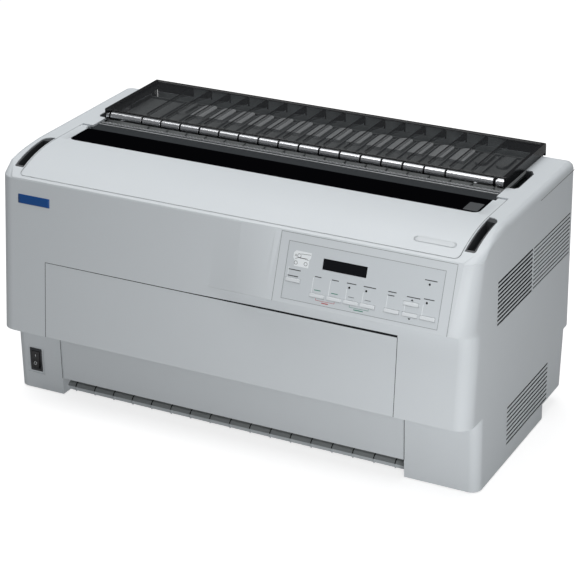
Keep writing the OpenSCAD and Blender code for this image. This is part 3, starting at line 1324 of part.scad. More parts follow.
// Dark tubs set into the grip recesses and finger notches
module grip_pockets() {
    tub = 18;
    color([0.2, 0.2, 0.21]) body_frame() both_sides() {
        difference() {
            intersection() {
                translate([0, 0, front_top_z - tub]) linear_extrude(80) grip_outline();
                profile_x(grip_x[0] - slack, grip_x[1] + slack)
                    polygon(concat([for (y = [0 : 10 : 90]) [y, top_z(y) - 1.2]],
                        [for (y = [90 : -10 : 0]) [y, top_z(y) - tub]]));
            }
            profile_x(grip_x[0] + 1.5, grip_x[1] - 2.5)
                polygon(concat([for (y = [12 : 9 : 75]) [y, top_z(y) + slack]],
                    [for (y = [75 : -9 : 12]) [y, top_z(y) - tub + 1.5]]));
        }
        difference() {
            translate([0, 0, deck_z - 15]) linear_extrude(14) notch_outline();
            translate([0, 0, deck_z - 13.5]) linear_extrude(20)
                polygon([[notch_x[0] - slack, notch_y[0] + 2], [notch_x[1] - 5, notch_y[0] + 2],
                    [notch_x[1] - 1.8, notch_y[0] + 7],
                    [notch_x[1] - 1.8, notch_y[1] - 11], [notch_x[1] - 7, notch_y[1] - 2],
                        [notch_x[0] - slack, notch_y[1] - 2]]);
        }
    }
}

base_case();
base_pan();
feet();
lower_front_panel();
front_paper_guide();
upper_case();
control_panel();
panel_overlay();
display();
panel_board();
lamps();
button_select();
button_font();
button_pitch();
button_tear_off();
button_form_top();
button_load();
button_feed_up();
button_feed_down();
button_pause();
top_cover();
cover_window();
hinge_pins();
exit_cover();
tension_shaft();
tension_rollers();
tension_bushes();
tear_bar();
tear_bar_support();
exit_guide();
front_cover();
switch_frame();
power_rocker();
left_side_frame();
right_side_frame();
platen();
platen_shaft();
guide_shafts();
carriage();
print_head();
drive_belt();
carriage_motor();
drive_pulley();
idler_pulley();
ribbon_cartridge();
platen_gear();
feed_motor();
feed_pinion();
idler_gear();
front_drive_shaft();
front_tractor_left();
front_tractor_right();
front_sprocket_left();
front_sprocket_right();
power_supply();
main_board();
cooling_fan();
fan_rotor();
power_inlet();
grip_pockets();
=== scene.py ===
import bpy
import bmesh
import json
import math
import numpy as np
from mathutils import Matrix, Vector

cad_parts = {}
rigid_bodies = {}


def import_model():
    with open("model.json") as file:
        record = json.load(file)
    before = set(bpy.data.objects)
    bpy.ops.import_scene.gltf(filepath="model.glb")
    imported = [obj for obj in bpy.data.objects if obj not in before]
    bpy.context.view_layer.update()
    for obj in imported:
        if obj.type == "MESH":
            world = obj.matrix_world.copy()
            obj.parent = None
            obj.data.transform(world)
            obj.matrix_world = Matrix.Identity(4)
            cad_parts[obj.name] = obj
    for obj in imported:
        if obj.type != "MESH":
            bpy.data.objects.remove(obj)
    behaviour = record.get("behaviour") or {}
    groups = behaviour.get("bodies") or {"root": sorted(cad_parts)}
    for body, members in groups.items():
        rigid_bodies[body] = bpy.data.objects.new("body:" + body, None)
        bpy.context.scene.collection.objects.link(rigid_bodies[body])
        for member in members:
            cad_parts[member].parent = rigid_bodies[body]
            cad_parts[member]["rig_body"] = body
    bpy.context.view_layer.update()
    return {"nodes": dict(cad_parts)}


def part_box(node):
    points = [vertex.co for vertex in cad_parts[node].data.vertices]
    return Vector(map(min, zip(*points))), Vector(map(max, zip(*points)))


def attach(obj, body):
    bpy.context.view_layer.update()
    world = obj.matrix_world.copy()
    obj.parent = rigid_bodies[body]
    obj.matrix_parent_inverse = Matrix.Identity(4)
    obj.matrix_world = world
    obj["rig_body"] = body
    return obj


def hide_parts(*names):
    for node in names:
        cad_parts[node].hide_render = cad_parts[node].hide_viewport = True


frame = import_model()
nodes = frame["nodes"]
print("frame loaded:", len(nodes), "nodes")

# The CAD counts y from the front face of the base, which is where its box begins
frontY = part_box("base_case")[0].y


def place(x, y, z):
    # millimetres with y from the base front, to metres in the row frame
    return np.stack(np.broadcast_arrays(np.asarray(x, float) / 1000, frontY + np.asarray(y, float) / 1000,
                                        np.asarray(z, float) / 1000), -1)


# Camera, from the fit to the photograph
cameraView = {"azimuth": 26.30, "elevation": 24.25, "roll": -0.25, "at": (1183.89, -2028.04, 1306.19),
              "focalPixels": 1992.44, "centre": (357.57, 265.96), "pixels": 576, "sensor": 36,
              "clip": (0.05, 60)}


def makeCamera(v):
    a, e, r = (math.radians(v[k]) for k in ("azimuth", "elevation", "roll"))
    back = Vector((math.sin(a) * math.cos(e), -math.cos(a) * math.cos(e), math.sin(e)))
    right = Vector((0, 0, 1)).cross(back).normalized()
    up = back.cross(right)
    right, up = math.cos(r) * right + math.sin(r) * up, -math.sin(r) * right + math.cos(r) * up
    data = bpy.data.cameras.new("photoCamera")
    data.sensor_width = v["sensor"]
    data.lens = v["focalPixels"] * v["sensor"] / v["pixels"]
    data.shift_x = (v["pixels"] / 2 - v["centre"][0]) / v["pixels"]
    data.shift_y = (v["centre"][1] - v["pixels"] / 2) / v["pixels"]
    data.clip_start, data.clip_end = v["clip"]
    camera = bpy.data.objects.new("photoCamera", data)
    m = Matrix((right, up, back)).transposed().to_4x4()
    m.translation = Vector(place(*v["at"]))
    camera.matrix_world = m
    bpy.context.scene.collection.objects.link(camera)
    bpy.context.scene.camera = camera


makeCamera(cameraView)
print("camera set")


def fill(t, n, inputs):
    # each input takes a constant, or a link from another node's socket
    for k, v in inputs.items():
        if isinstance(v, bpy.types.NodeSocket):
            t.links.new(v, n.inputs[k])
        else:
            n.inputs[k].default_value = v
    return n


def newNode(t, kind, inputs):
    return fill(t, t.nodes.new(kind), inputs)


def mathNode(t, kind, a, b, clamp=False):
    n = t.nodes.new("ShaderNodeMath")
    n.operation = kind
    n.use_clamp = clamp
    return fill(t, n, {0: a, 1: b}).outputs[0]


# Studio: a large soft lamp overhead, a smaller one low at the right front, and an even pale room;
# a lamp is its power, its place, its size and the point that it looks at
studio = {"lamps": {"keyLamp": (8.6, (0.86, -1.08, 0.32), 0.7, (0.15, -0.17, 0.2)),
                    "topLamp": (60, (-0.3, 0.25, 2.6), 2.5, (0, 0, 0.2))},
          "white": (1, 1, 1, 1), "room": 0.21, "roomTone": (0.95, 0.975, 1, 1), "floorHalf": 9,
          "floorTone": (0.5, 0.5, 0.5, 1), "floorLift": 0.72}


def lamp(name, power, at, size, target):
    data = bpy.data.lights.new(name, "AREA")
    data.energy, data.size = power, size
    o = bpy.data.objects.new(name, data)
    o.location = at
    o.rotation_mode = "QUATERNION"
    o.rotation_quaternion = (Vector(target) - Vector(at)).to_track_quat("-Z", "Y")
    bpy.context.scene.collection.objects.link(o)


def emptyTree(owner):
    owner.use_nodes = True
    owner.node_tree.nodes.clear()
    return owner.node_tree


def makeRoom(s):
    # the camera sees white, also through clear plastic, while the room's own tone lights the part
    world = bpy.data.worlds.new("paleRoom")
    bpy.context.scene.world = world
    t = emptyTree(world)
    path = t.nodes.new("ShaderNodeLightPath").outputs
    seen = mathNode(t, "MAXIMUM", path["Is Camera Ray"], path["Is Transmission Ray"])
    pale = newNode(t, "ShaderNodeBackground", {"Color": s["white"]})
    lit = newNode(t, "ShaderNodeBackground", {"Color": s["roomTone"], "Strength": s["room"]})
    mix = newNode(t, "ShaderNodeMixShader", {0: seen, 1: lit.outputs[0], 2: pale.outputs[0]})
    newNode(t, "ShaderNodeOutputWorld", {"Surface": mix.outputs[0]})


def makeFloor(s):
    # a grey floor that takes shadows, lifted towards white where the camera sees it
    h = s["floorHalf"]
    mesh = bpy.data.meshes.new("floor")
    mesh.from_pydata([(-h, -h, 0), (h, -h, 0), (h, h, 0), (-h, h, 0)], [], [(0, 1, 2, 3)])
    floor = bpy.data.objects.new("floor", mesh)
    bpy.context.scene.collection.objects.link(floor)
    m = bpy.data.materials.new("paleFloor")
    t = emptyTree(m)
    seen = t.nodes.new("ShaderNodeLightPath").outputs["Is Camera Ray"]
    base = newNode(t, "ShaderNodeBsdfDiffuse", {"Color": s["floorTone"]})
    lift = newNode(t, "ShaderNodeEmission", {"Color": s["white"],
                                             "Strength": mathNode(t, "MULTIPLY", seen, s["floorLift"])})
    both = newNode(t, "ShaderNodeAddShader", {0: base.outputs[0], 1: lift.outputs[0]})
    newNode(t, "ShaderNodeOutputMaterial", {"Surface": both.outputs[0]})
    mesh.materials.append(m)


bpy.context.scene.view_settings.view_transform = "Standard"
makeRoom(studio)
for name, settings in studio["lamps"].items():
    lamp(name, *settings)
makeFloor(studio)
print("studio set")


# Shader groups that several finishes share
def newGroup(name, inputs, outputs):
    g = bpy.data.node_groups.new(name, "ShaderNodeTree")
    for n, kind, value in inputs:
        g.interface.new_socket(n, in_out="INPUT", socket_type="NodeSocket" + kind).default_value = value
    for n, kind in outputs:
        g.interface.new_socket(n, in_out="OUTPUT", socket_type="NodeSocket" + kind)
    return g, g.nodes.new("NodeGroupInput"), g.nodes.new("NodeGroupOutput")


def noiseNode(t, vector, scale, detail, rough):
    return newNode(t, "ShaderNodeTexNoise", {"Vector": vector, "Scale": scale, "Detail": detail,
                                             "Roughness": rough}).outputs["Fac"]


def swingNode(t, value, amount):
    # a noise value swung round zero: (value - 0.5) * amount
    return mathNode(t, "MULTIPLY", mathNode(t, "SUBTRACT", value, 0.5), amount)


def tintNode(t, color, factor):
    # colour times a grey factor
    n = t.nodes.new("ShaderNodeVectorMath")
    n.operation = "SCALE"
    return fill(t, n, {0: color, "Scale": factor}).outputs[0]


def mixNode(t, factor, a, b):
    # colour a, or b where the factor is one
    n = t.nodes.new("ShaderNodeMix")
    n.data_type = "RGBA"
    return fill(t, n, {"Factor": factor, "A": a, "B": b}).outputs["Result"]


# Moulded plastic: fine spark-eroded grain as height, a slow drift of tone, and roughness that follows the grain.
# A noise is its scale, detail and roughness
mouldedLook = {"fine": (2, 0.6), "pitShare": 0.6, "fineShare": 0.5, "slow": (4.5, 4, 0.55), "speck": 0.05,
               "rub": (22.0, 5, 0.6), "rubSwing": 0.16}


def makeMoulded(c):
    g, i, o = newGroup("mouldedGrain", [("Color", "Color", (0.8, 0.8, 0.8, 1)), ("Roughness", "Float", 0.5),
                                        ("Grain Scale", "Float", 900.0), ("Drift", "Float", 0.03)],
                       [("Color", "Color"), ("Roughness", "Float"), ("Height", "Float")])
    where = g.nodes.new("ShaderNodeTexCoord").outputs["Object"]
    pits = newNode(g, "ShaderNodeTexVoronoi", {"Vector": where, "Scale": i.outputs["Grain Scale"]})
    pits.feature = "SMOOTH_F1"
    fine = noiseNode(g, where, i.outputs["Grain Scale"], *c["fine"])
    height = mathNode(g, "ADD", mathNode(g, "MULTIPLY", pits.outputs["Distance"], c["pitShare"]),
                      mathNode(g, "MULTIPLY", fine, c["fineShare"]))
    drift = swingNode(g, noiseNode(g, where, *c["slow"]), i.outputs["Drift"])
    tone = mathNode(g, "ADD", mathNode(g, "ADD", drift, swingNode(g, fine, c["speck"])), 1.0)
    rub = swingNode(g, noiseNode(g, where, *c["rub"]), c["rubSwing"])
    fill(g, o, {"Color": tintNode(g, i.outputs["Color"], tone), "Height": height,
                "Roughness": mathNode(g, "ADD", i.outputs["Roughness"], rub, True)})
    return g


# Drawn or brushed metal: noise stretched along one axis gives lines in tone, roughness and height
brushedLook = {"lines": (1.0, 5, 0.65), "cloud": (14.0, 4, 0.5), "cloudSwing": 0.1}


def makeBrushed(c):
    g, i, o = newGroup("brushedLines", [("Color", "Color", (0.7, 0.7, 0.7, 1)), ("Roughness", "Float", 0.3),
                                        ("Stretch", "Vector", (8.0, 400.0, 400.0)), ("Contrast", "Float", 0.25)],
                       [("Color", "Color"), ("Roughness", "Float"), ("Height", "Float")])
    where = g.nodes.new("ShaderNodeTexCoord").outputs["Object"]
    pull = newNode(g, "ShaderNodeVectorMath", {0: where, 1: i.outputs["Stretch"]})
    pull.operation = "MULTIPLY"
    lines = noiseNode(g, pull.outputs[0], *c["lines"])
    change = mathNode(g, "ADD", swingNode(g, lines, i.outputs["Contrast"]),
                      swingNode(g, noiseNode(g, where, *c["cloud"]), c["cloudSwing"]))
    fill(g, o, {"Color": tintNode(g, i.outputs["Color"], mathNode(g, "ADD", change, 1.0)), "Height": lines,
                "Roughness": mathNode(g, "ADD", i.outputs["Roughness"], change, True)})
    return g


# Settled dust: more on faces that look up, in soft patches
dustLook = {"tone": (0.5, 0.5, 0.48, 1), "least": 0.15, "patches": (30.0, 6, 0.7), "patchGain": 1.4,
            "patchBase": 0.3}


def makeDust(c):
    g, i, o = newGroup("settledDust", [("Color", "Color", (0.1, 0.1, 0.1, 1)), ("Amount", "Float", 0.1)],
                       [("Color", "Color")])
    where = g.nodes.new("ShaderNodeTexCoord").outputs["Object"]
    split = newNode(g, "ShaderNodeSeparateXYZ", {0: g.nodes.new("ShaderNodeNewGeometry").outputs["Normal"]})
    up = mathNode(g, "MULTIPLY", mathNode(g, "MAXIMUM", split.outputs["Z"], c["least"]), i.outputs["Amount"])
    patch = mathNode(g, "ADD", mathNode(g, "MULTIPLY", noiseNode(g, where, *c["patches"]), c["patchGain"]),
                     c["patchBase"])
    mask = mathNode(g, "MULTIPLY", up, patch, True)
    g.links.new(mixNode(g, mask, i.outputs["Color"], c["tone"]), o.inputs["Color"])
    return g


moulded, brushed, dusty = makeMoulded(mouldedLook), makeBrushed(brushedLook), makeDust(dustLook)
print("shader groups made")

# What the finishes share; a relief is a depth in metres
sharedLook = {"coatRough": 0.1, "ior": 1.5, "plasticRelief": 0.0004, "metalRelief": 0.0003,
              "inkRelief": 0.0002, "inkSpecular": 0.3, "inkGrain": 1500, "inkDrift": 0.06, "inkBump": 0.05}


def startMaterial(name, specular=0.5, metallic=0.0, coat=0.0):
    m = bpy.data.materials.new(name)
    m.use_nodes = True
    t = m.node_tree
    b = fill(t, t.nodes["Principled BSDF"], {
        "Specular IOR Level": specular, "Metallic": metallic, "Coat Weight": coat,
        "Coat Roughness": sharedLook["coatRough"], "IOR": sharedLook["ior"]})
    return m, t, b


def joinGroup(t, group, values):
    n = t.nodes.new("ShaderNodeGroup")
    n.node_tree = group
    return fill(t, n, values).outputs


def addBump(t, b, height, strength, distance):
    bump = newNode(t, "ShaderNodeBump", {"Strength": strength, "Distance": distance, "Height": height})
    t.links.new(bump.outputs["Normal"], b.inputs["Normal"])


def joinFinish(t, b, group, values, dust, bump, relief):
    # the group's colour, dusted if asked for, its roughness and its height go to the surface
    g = joinGroup(t, group, values)
    tone = joinGroup(t, dusty, {"Amount": dust, "Color": g["Color"]})["Color"] if dust else g["Color"]
    fill(t, b, {"Base Color": tone, "Roughness": g["Roughness"]})
    addBump(t, b, g["Height"], bump, relief)


def plastic(name, color, rough, grain, bump, dust=0.0, specular=0.4, coat=0.0, alpha=1.0):
    m, t, b = startMaterial(name, specular=specular, coat=coat)
    joinFinish(t, b, moulded, {"Color": (*color, 1), "Roughness": rough, "Grain Scale": grain}, dust, bump,
               sharedLook["plasticRelief"])
    b.inputs["Alpha"].default_value = alpha
    return m


def metal(name, color, rough, stretch=(8, 400, 400), contrast=0.25, bump=0.05, dust=0.0):
    m, t, b = startMaterial(name, metallic=1.0)
    joinFinish(t, b, brushed, {"Color": (*color, 1), "Roughness": rough, "Stretch": stretch,
                               "Contrast": contrast}, dust, bump, sharedLook["metalRelief"])
    return m


def inkMaterial(name, color, rough=0.45):
    c = sharedLook
    m, t, b = startMaterial(name, specular=c["inkSpecular"])
    joinFinish(t, b, moulded, {"Color": (*color, 1), "Roughness": rough, "Grain Scale": c["inkGrain"],
                               "Drift": c["inkDrift"]}, 0.0, c["inkBump"], c["inkRelief"])
    return m


# Printed board: copper tracks as straight cells under green lacquer, with bright solder spots
boardLook = {"coat": 0.3, "cells": 160, "trackFrom": 0.62, "spots": 230, "spotTo": 0.16,
             "solder": (0.62, 0.62, 0.6, 1), "trackGain": (2.2, 1.7, 1.7), "trackRed": 0.02, "rough": 0.35,
             "trackRough": 0.1, "solderHigh": 2.0, "bump": 0.25, "relief": 0.0003}


def boardMaterial(name, color, c):
    m, t, b = startMaterial(name, coat=c["coat"])
    where = t.nodes.new("ShaderNodeTexCoord").outputs["Object"]
    cells = newNode(t, "ShaderNodeTexVoronoi", {"Scale": c["cells"], "Vector": where})
    cells.distance = "MANHATTAN"
    spots = newNode(t, "ShaderNodeTexVoronoi", {"Scale": c["spots"], "Vector": where})
    track = mathNode(t, "GREATER_THAN", cells.outputs["Distance"], c["trackFrom"])
    solder = mathNode(t, "LESS_THAN", spots.outputs["Distance"], c["spotTo"])
    red, green, blue = (v * k for v, k in zip(color, c["trackGain"]))
    copper = mixNode(t, track, (*color, 1), (red + c["trackRed"], green, blue, 1))
    fill(t, b, {"Base Color": mixNode(t, solder, copper, c["solder"]),
                "Roughness": mathNode(t, "ADD", mathNode(t, "MULTIPLY", track, c["trackRough"]), c["rough"])})
    addBump(t, b, mathNode(t, "ADD", track, mathNode(t, "MULTIPLY", solder, c["solderHigh"])), c["bump"],
            c["relief"])
    return m


# A plastic is its name, colour, roughness, grain scale and bump; a metal is its name, colour, roughness and the
# stretch of its lines
finishes = {
    "case": plastic("caseGrey", (0.60, 0.632, 0.655), 0.46, 1100, 0.1),
    "panel": plastic("panelGrey", (0.585, 0.617, 0.64), 0.44, 1300, 0.06),
    "overlay": plastic("overlayFilm", (0.555, 0.588, 0.612), 0.38, 1800, 0.04),
    "guide": plastic("guideGrey", (0.5, 0.53, 0.55), 0.5, 1000, 0.1, dust=0.1),
    "button": plastic("buttonGrey", (0.66, 0.69, 0.71), 0.4, 1500, 0.05),
    "window": plastic("windowBlack", (0.0015, 0.0015, 0.002), 0.35, 500, 0.0, specular=0.0),
    "smoke": plastic("smokedClear", (0.010, 0.011, 0.013), 0.16, 400, 0.0, specular=0.3, alpha=0.31),
    "smokeEdge": plastic("smokedEdge", (0.006, 0.0065, 0.007), 0.2, 400, 0.0, specular=0.25, alpha=0.93),
    "dark": plastic("darkPlastic", (0.028, 0.03, 0.034), 0.5, 900, 0.14, dust=0.06),
    "strip": plastic("stripGrey", (0.026, 0.029, 0.032), 0.65, 900, 0.12, specular=0.1),
    "mechanism": plastic("mechanismBlack", (0.02, 0.021, 0.023), 0.48, 800, 0.15, dust=0.12),
    "pocket": plastic("pocketGrey", (0.045, 0.048, 0.052), 0.42, 1000, 0.1),
    "glossBlack": plastic("glossBlack", (0.006, 0.006, 0.007), 0.12, 600, 0.01, specular=0.5, coat=0.4),
    "display": plastic("displayGlass", (0.003, 0.0035, 0.005), 0.2, 700, 0.0, specular=0.3),
    "lamp": plastic("lampLens", (0.01, 0.012, 0.01), 0.15, 800, 0.0, specular=0.6, coat=0.5),
    "nylon": plastic("gearNylon", (0.72, 0.71, 0.64), 0.38, 700, 0.08, dust=0.05),
    "rubber": plastic("blackRubber", (0.016, 0.016, 0.017), 0.72, 1400, 0.3, dust=0.1, specular=0.25),
    "platenRubber": plastic("platenRubber", (0.012, 0.012, 0.013), 0.6, 1700, 0.2, dust=0.04, specular=0.3),
    "belt": plastic("beltRubber", (0.02, 0.02, 0.021), 0.7, 1500, 0.2, specular=0.2),
    "steel": metal("drawnSteel", (0.66, 0.66, 0.67), 0.28),
    "sheet": metal("zincSheet", (0.6, 0.61, 0.62), 0.42, (60, 60, 60), contrast=0.2, bump=0.08, dust=0.06),
    "tearBar": metal("tearBarSteel", (0.6, 0.61, 0.62), 0.58, (500, 10, 500), contrast=0.08, bump=0.0),
    "roller": metal("rollerChrome", (0.72, 0.73, 0.75), 0.2, (12, 300, 300), contrast=0.1, bump=0.0),
    "brass": metal("pinionBrass", (0.72, 0.53, 0.22), 0.3, (40, 500, 500)),
    "motor": metal("motorPaint", (0.055, 0.058, 0.062), 0.45, (90, 90, 90), contrast=0.3, dust=0.08),
    "head": metal("headAlloy", (0.3, 0.31, 0.33), 0.5, (120, 120, 120), contrast=0.3, dust=0.08),
    "alloy": metal("pulleyAlloy", (0.62, 0.63, 0.64), 0.32, (300, 300, 40)),
    "board": boardMaterial("boardGreen", (0.012, 0.09, 0.03), boardLook),
    "inkDark": inkMaterial("inkDark", (0.03, 0.032, 0.036)),
    "inkGrey": inkMaterial("inkGrey", (0.16, 0.17, 0.18)),
    "inkLight": inkMaterial("inkLight", (0.78, 0.81, 0.83)),
    "inkGreen": inkMaterial("inkGreen", (0.05, 0.22, 0.16)),
    "inkRed": inkMaterial("inkRed", (0.42, 0.08, 0.09)),
    "badge": inkMaterial("badgeBlue", (0.008, 0.07, 0.26), rough=0.3),
    "plate": inkMaterial("plateSilver", (0.56, 0.59, 0.61), rough=0.34),
    # painted shade: the black and the grey finish of the seam ribbons stand for the shadow in narrow gaps
    "seam": plastic("seamShadow", (0.012, 0.013, 0.014), 0.8, 900, 0.05, specular=0.1),
    "seamShadeGrey": plastic("seamShadeGrey", (0.25, 0.265, 0.275), 0.7, 900, 0.05, specular=0.2),
    # painted shade: black for the bars that stand for the dark inside of the side vents
    "ventShadeBlack": plastic("ventShadeFill", (0.014, 0.015, 0.016), 0.85, 1400, 0.25, specular=0.12),
    "tab": plastic("tabGrey", (0.05, 0.054, 0.058), 0.4, 900, 0.08),
    "markWhite": inkMaterial("markWhite", (0.72, 0.74, 0.75)),
    "pad": plastic("padGrey", (0.6, 0.62, 0.63), 0.5, 900, 0.1),
    "guidePlate": plastic("guidePlateGrey", (0.19, 0.205, 0.21), 0.55, 700, 0.12, dust=0.1),
    "rearPanel": plastic("rearPanelGrey", (0.4, 0.43, 0.435), 0.5, 900, 0.05),
    "rib": plastic("ribBlack", (0.004, 0.004, 0.005), 0.5, 900, 0.05, specular=0.1),
}
print("finishes made:", len(finishes))

buttons = [n for n in nodes if n.startswith("button_")]
finishOf = {
    "case": ["base_case", "lower_front_panel", "upper_case", "top_cover", "front_cover"],
    "panel": ["control_panel"], "overlay": ["panel_overlay"], "guide": ["front_paper_guide"],
    "window": ["cover_window"], "smoke": ["exit_cover"], "strip": ["tear_bar_support"],
    "dark": ["switch_frame"], "guidePlate": ["exit_guide"],
    "mechanism": ["ribbon_cartridge", "front_tractor_left", "front_tractor_right", "carriage", "cooling_fan",
                  "fan_rotor", "power_inlet"],
    "pocket": ["grip_pockets"], "glossBlack": ["power_rocker"], "display": ["display"], "lamp": ["lamps"],
    "nylon": ["platen_gear", "idler_gear", "front_sprocket_left", "front_sprocket_right"],
    "rubber": ["feet"], "platenRubber": ["platen"], "belt": ["drive_belt"],
    "steel": ["platen_shaft", "guide_shafts", "tension_shaft", "hinge_pins", "front_drive_shaft"],
    "sheet": ["base_pan", "left_side_frame", "right_side_frame", "power_supply"],
    "tearBar": ["tear_bar"], "roller": ["tension_rollers", "tension_bushes"], "brass": ["feed_pinion"],
    "motor": ["carriage_motor", "feed_motor"], "head": ["print_head"],
    "alloy": ["drive_pulley", "idler_pulley"], "board": ["panel_board", "main_board"], "button": buttons,
}
for finish, members in finishOf.items():
    for n in members:
        mesh = nodes[n].data
        mesh.materials.clear()
        mesh.materials.append(finishes[finish])
unfinished = set(nodes) - {n for members in finishOf.values() for n in members}
print("nodes without a finish:", sorted(unfinished))

# Smooth copies of the moulded CAD nodes; the bevel beside each name is in metres and rounds its sharp edges
softEdge = {"merge": 3e-6, "flatAngle": 0.4, "sharpAngle": 32.0, "bevelAngle": 40.0, "segments": 2, "weight": 80,
            "button": 0.0006}
softNodes = {"upper_case": 0.0, "base_case": 0.0, "top_cover": 0.0, "front_cover": 0.0006,
             "lower_front_panel": 0.0005, "control_panel": 0.0, "tension_bushes": 0.0003, "exit_guide": 0.0,
             "grip_pockets": 0.0, "tear_bar_support": 0.0, "power_rocker": 0.0004, "switch_frame": 0.0003,
             "exit_cover": 0.0, "platen": 0.0, "ribbon_cartridge": 0.0004}
softNodes.update({n: softEdge["button"] for n in buttons})


def softCopy(node, bevel, s):
    # the copy's loose triangles are merged, flat neighbours joined, and edges past an angle stay sharp
    source = nodes[node]
    mesh = source.data.copy()
    mesh.name = node + "Soft"
    work = bmesh.new()
    work.from_mesh(mesh)
    bmesh.ops.remove_doubles(work, verts=work.verts, dist=s["merge"])
    bmesh.ops.dissolve_limit(work, angle_limit=math.radians(s["flatAngle"]), verts=work.verts, edges=work.edges)
    work.to_mesh(mesh)
    work.free()
    mesh.polygons.foreach_set("use_smooth", [True] * len(mesh.polygons))
    mesh.set_sharp_from_angle(angle=math.radians(s["sharpAngle"]))
    o = bpy.data.objects.new(node + "Soft", mesh)
    bpy.context.scene.collection.objects.link(o)
    if bevel:
        m = o.modifiers.new("softEdges", "BEVEL")
        m.width = bevel
        m.segments = s["segments"]
        m.limit_method = "ANGLE"
        m.angle_limit = math.radians(s["bevelAngle"])
        m.use_clamp_overlap = True
    m = o.modifiers.new("flatNormals", "WEIGHTED_NORMAL")
    m.keep_sharp = True
    m.weight = s["weight"]
    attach(o, source["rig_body"])
    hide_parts(node)


for node, width in softNodes.items():
    softCopy(node, width, softEdge)
print("smooth copies:", len(softNodes))


# New pieces
def addPiece(name, verts, faces, finish, body, smooth=False, turnOut=False):
    mesh = bpy.data.meshes.new(name)
    mesh.from_pydata(np.asarray(verts, float).reshape(-1, 3).tolist(), [], [list(map(int, f)) for f in faces])
    mesh.validate()
    mesh.materials.append(finishes[finish])
    mesh.polygons.foreach_set("use_smooth", [smooth] * len(mesh.polygons))
    mesh.update()
    o = bpy.data.objects.new(name, mesh)
    bpy.context.scene.collection.objects.link(o)
    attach(o, body)
    if turnOut:
        work = bmesh.new()
        work.from_mesh(mesh)
        bmesh.ops.recalc_face_normals(work, faces=work.faces)
        work.to_mesh(mesh)
        work.free()
    return o


def ringFaces(k, rows, start=0, out=True):
    # quads between each ring of k points and the next one, wound one way or the other
    i = start + np.arange(rows)[:, None] * k + np.arange(k)
    j = start + np.arange(rows)[:, None] * k + (np.arange(k) + 1) % k
    return np.stack([i, j, j + k, i + k] if out else [i, i + k, j + k, j], -1).reshape(-1, 4).tolist()


def prismFaces(k, count):
    # prisms in a row: of each, k points are one end and the next k the other
    faces = []
    for start in range(0, 2 * k * count, 2 * k):
        faces += [start + np.arange(k)[::-1], start + k + np.arange(k), *ringFaces(k, 1, start)]
    return faces


# The control panel's plane: x along it, v down its slope, d out of its surface, all in millimetres
panelPlane = {"topY": -11.0, "topZ": 322.0, "tilt": math.atan2(84.0, 32.0111)}


def onPanel(x, v, d=0.0):
    a = panelPlane["tilt"]
    x, v, d = np.broadcast_arrays(np.asarray(x, float), np.asarray(v, float), np.asarray(d, float))
    return place(x, panelPlane["topY"] - v * math.cos(a) - d * math.sin(a),
                 panelPlane["topZ"] - v * math.sin(a) + d * math.cos(a))


# Flat prints: each outline is pushed up by a film's thickness, as a closed prism
filmSunk = -0.02


def printFilm(name, outlines, finish, body, where, thick=0.07):
    verts, faces, n = [], [], 0
    for outline in outlines:
        p = np.asarray(outline, float)
        area = np.sum(p[:, 0] * np.roll(p[:, 1], -1) - np.roll(p[:, 0], -1) * p[:, 1])
        if area < 0:
            p = p[::-1]
        verts += [where(p[:, 0], p[:, 1], thick), where(p[:, 0], p[:, 1], filmSunk)]
        faces += [np.add(f, n) for f in prismFaces(len(p), 1)]
        n += 2 * len(p)
    addPiece(name, np.concatenate(verts), faces, finish, body)


def rect(x0, x1, v0, v1):
    return [(x0, v0), (x1, v0), (x1, v1), (x0, v1)]


def pill(x0, x1, v0, v1, n=10):
    # a bar with half-round ends
    r = (v1 - v0) / 2
    a = np.linspace(-math.pi / 2, math.pi / 2, n)
    right = np.stack([x1 - r + r * np.cos(a), (v0 + v1) / 2 + r * np.sin(a)], 1)
    left = np.stack([x0 + r - r * np.cos(a), (v0 + v1) / 2 - r * np.sin(a)], 1)
    return np.concatenate([right, left])


def stroke(points, w):
    # one rectangle for each step of a broken line
    p = np.asarray(points, float)
    a, b = p[:-1], p[1:]
    t = (b - a) / np.linalg.norm(b - a, axis=1)[:, None]
    n = np.stack([-t[:, 1], t[:, 0]], 1) * w / 2
    e = t * w / 2
    return list(np.stack([a - e - n, b + e - n, b + e + n, a - e + n], 1))


def ring(x, v, r, w, n=20):
    a = np.linspace(0, 2 * math.pi, n + 1)
    return stroke(np.stack([x + r * np.cos(a), v + r * np.sin(a)], 1), w)


# The panel's prints: guide lines as x, first v, last v; label bars as x, v, length; marks as x, v;
# brackets as first x, last x, lowest v; tags, the bars below the brackets, as first x, last x
panelPrint = {"frame": (94.1, 308.9, 11.1, 84.4), "frameLine": 0.45, "guideLine": 0.6,
              "guides": [(98.6, 43.5, 57.5), (134.6, 51, 71), (158.2, 51, 71), (181.8, 57, 71), (204.6, 57, 71),
                         (237.4, 54, 71), (261.8, 62, 71), (285.6, 57, 71)],
              "labels": [(99, 46.5, 17), (136.6, 49.6, 9), (160.2, 49.6, 9.5), (181, 49.6, 13),
                         (204, 49.6, 17), (237.6, 49.6, 11), (237.6, 54.0, 9), (263, 51.2, 18),
                         (285.6, 49.8, 14), (283, 26.6, 16.5), (98.6, 54.4, 15)], "labelHalf": 0.55,
              "greenMarks": [(138.2, 66.2), (162, 66.2)], "greenLong": 9, "greenHalf": 0.5,
              "greyMarks": [(185.4, 66.2), (208.4, 66.2)], "greyLong": 8, "greyHalf": 0.4,
              "red": (142, 168, 78.6), "green": (189, 215, 78.6), "bracketTop": 76.4, "bracketLine": 0.5,
              "redTag": (150.5, 160), "greenTag": (195, 208), "tagV": (80.2, 81.4),
              "arrows": [[(268.6, 55.6), (272.6, 55.6), (270.6, 53.2)],
                         [(268.4, 77.0), (272.4, 77.0), (270.4, 79.2)]]}


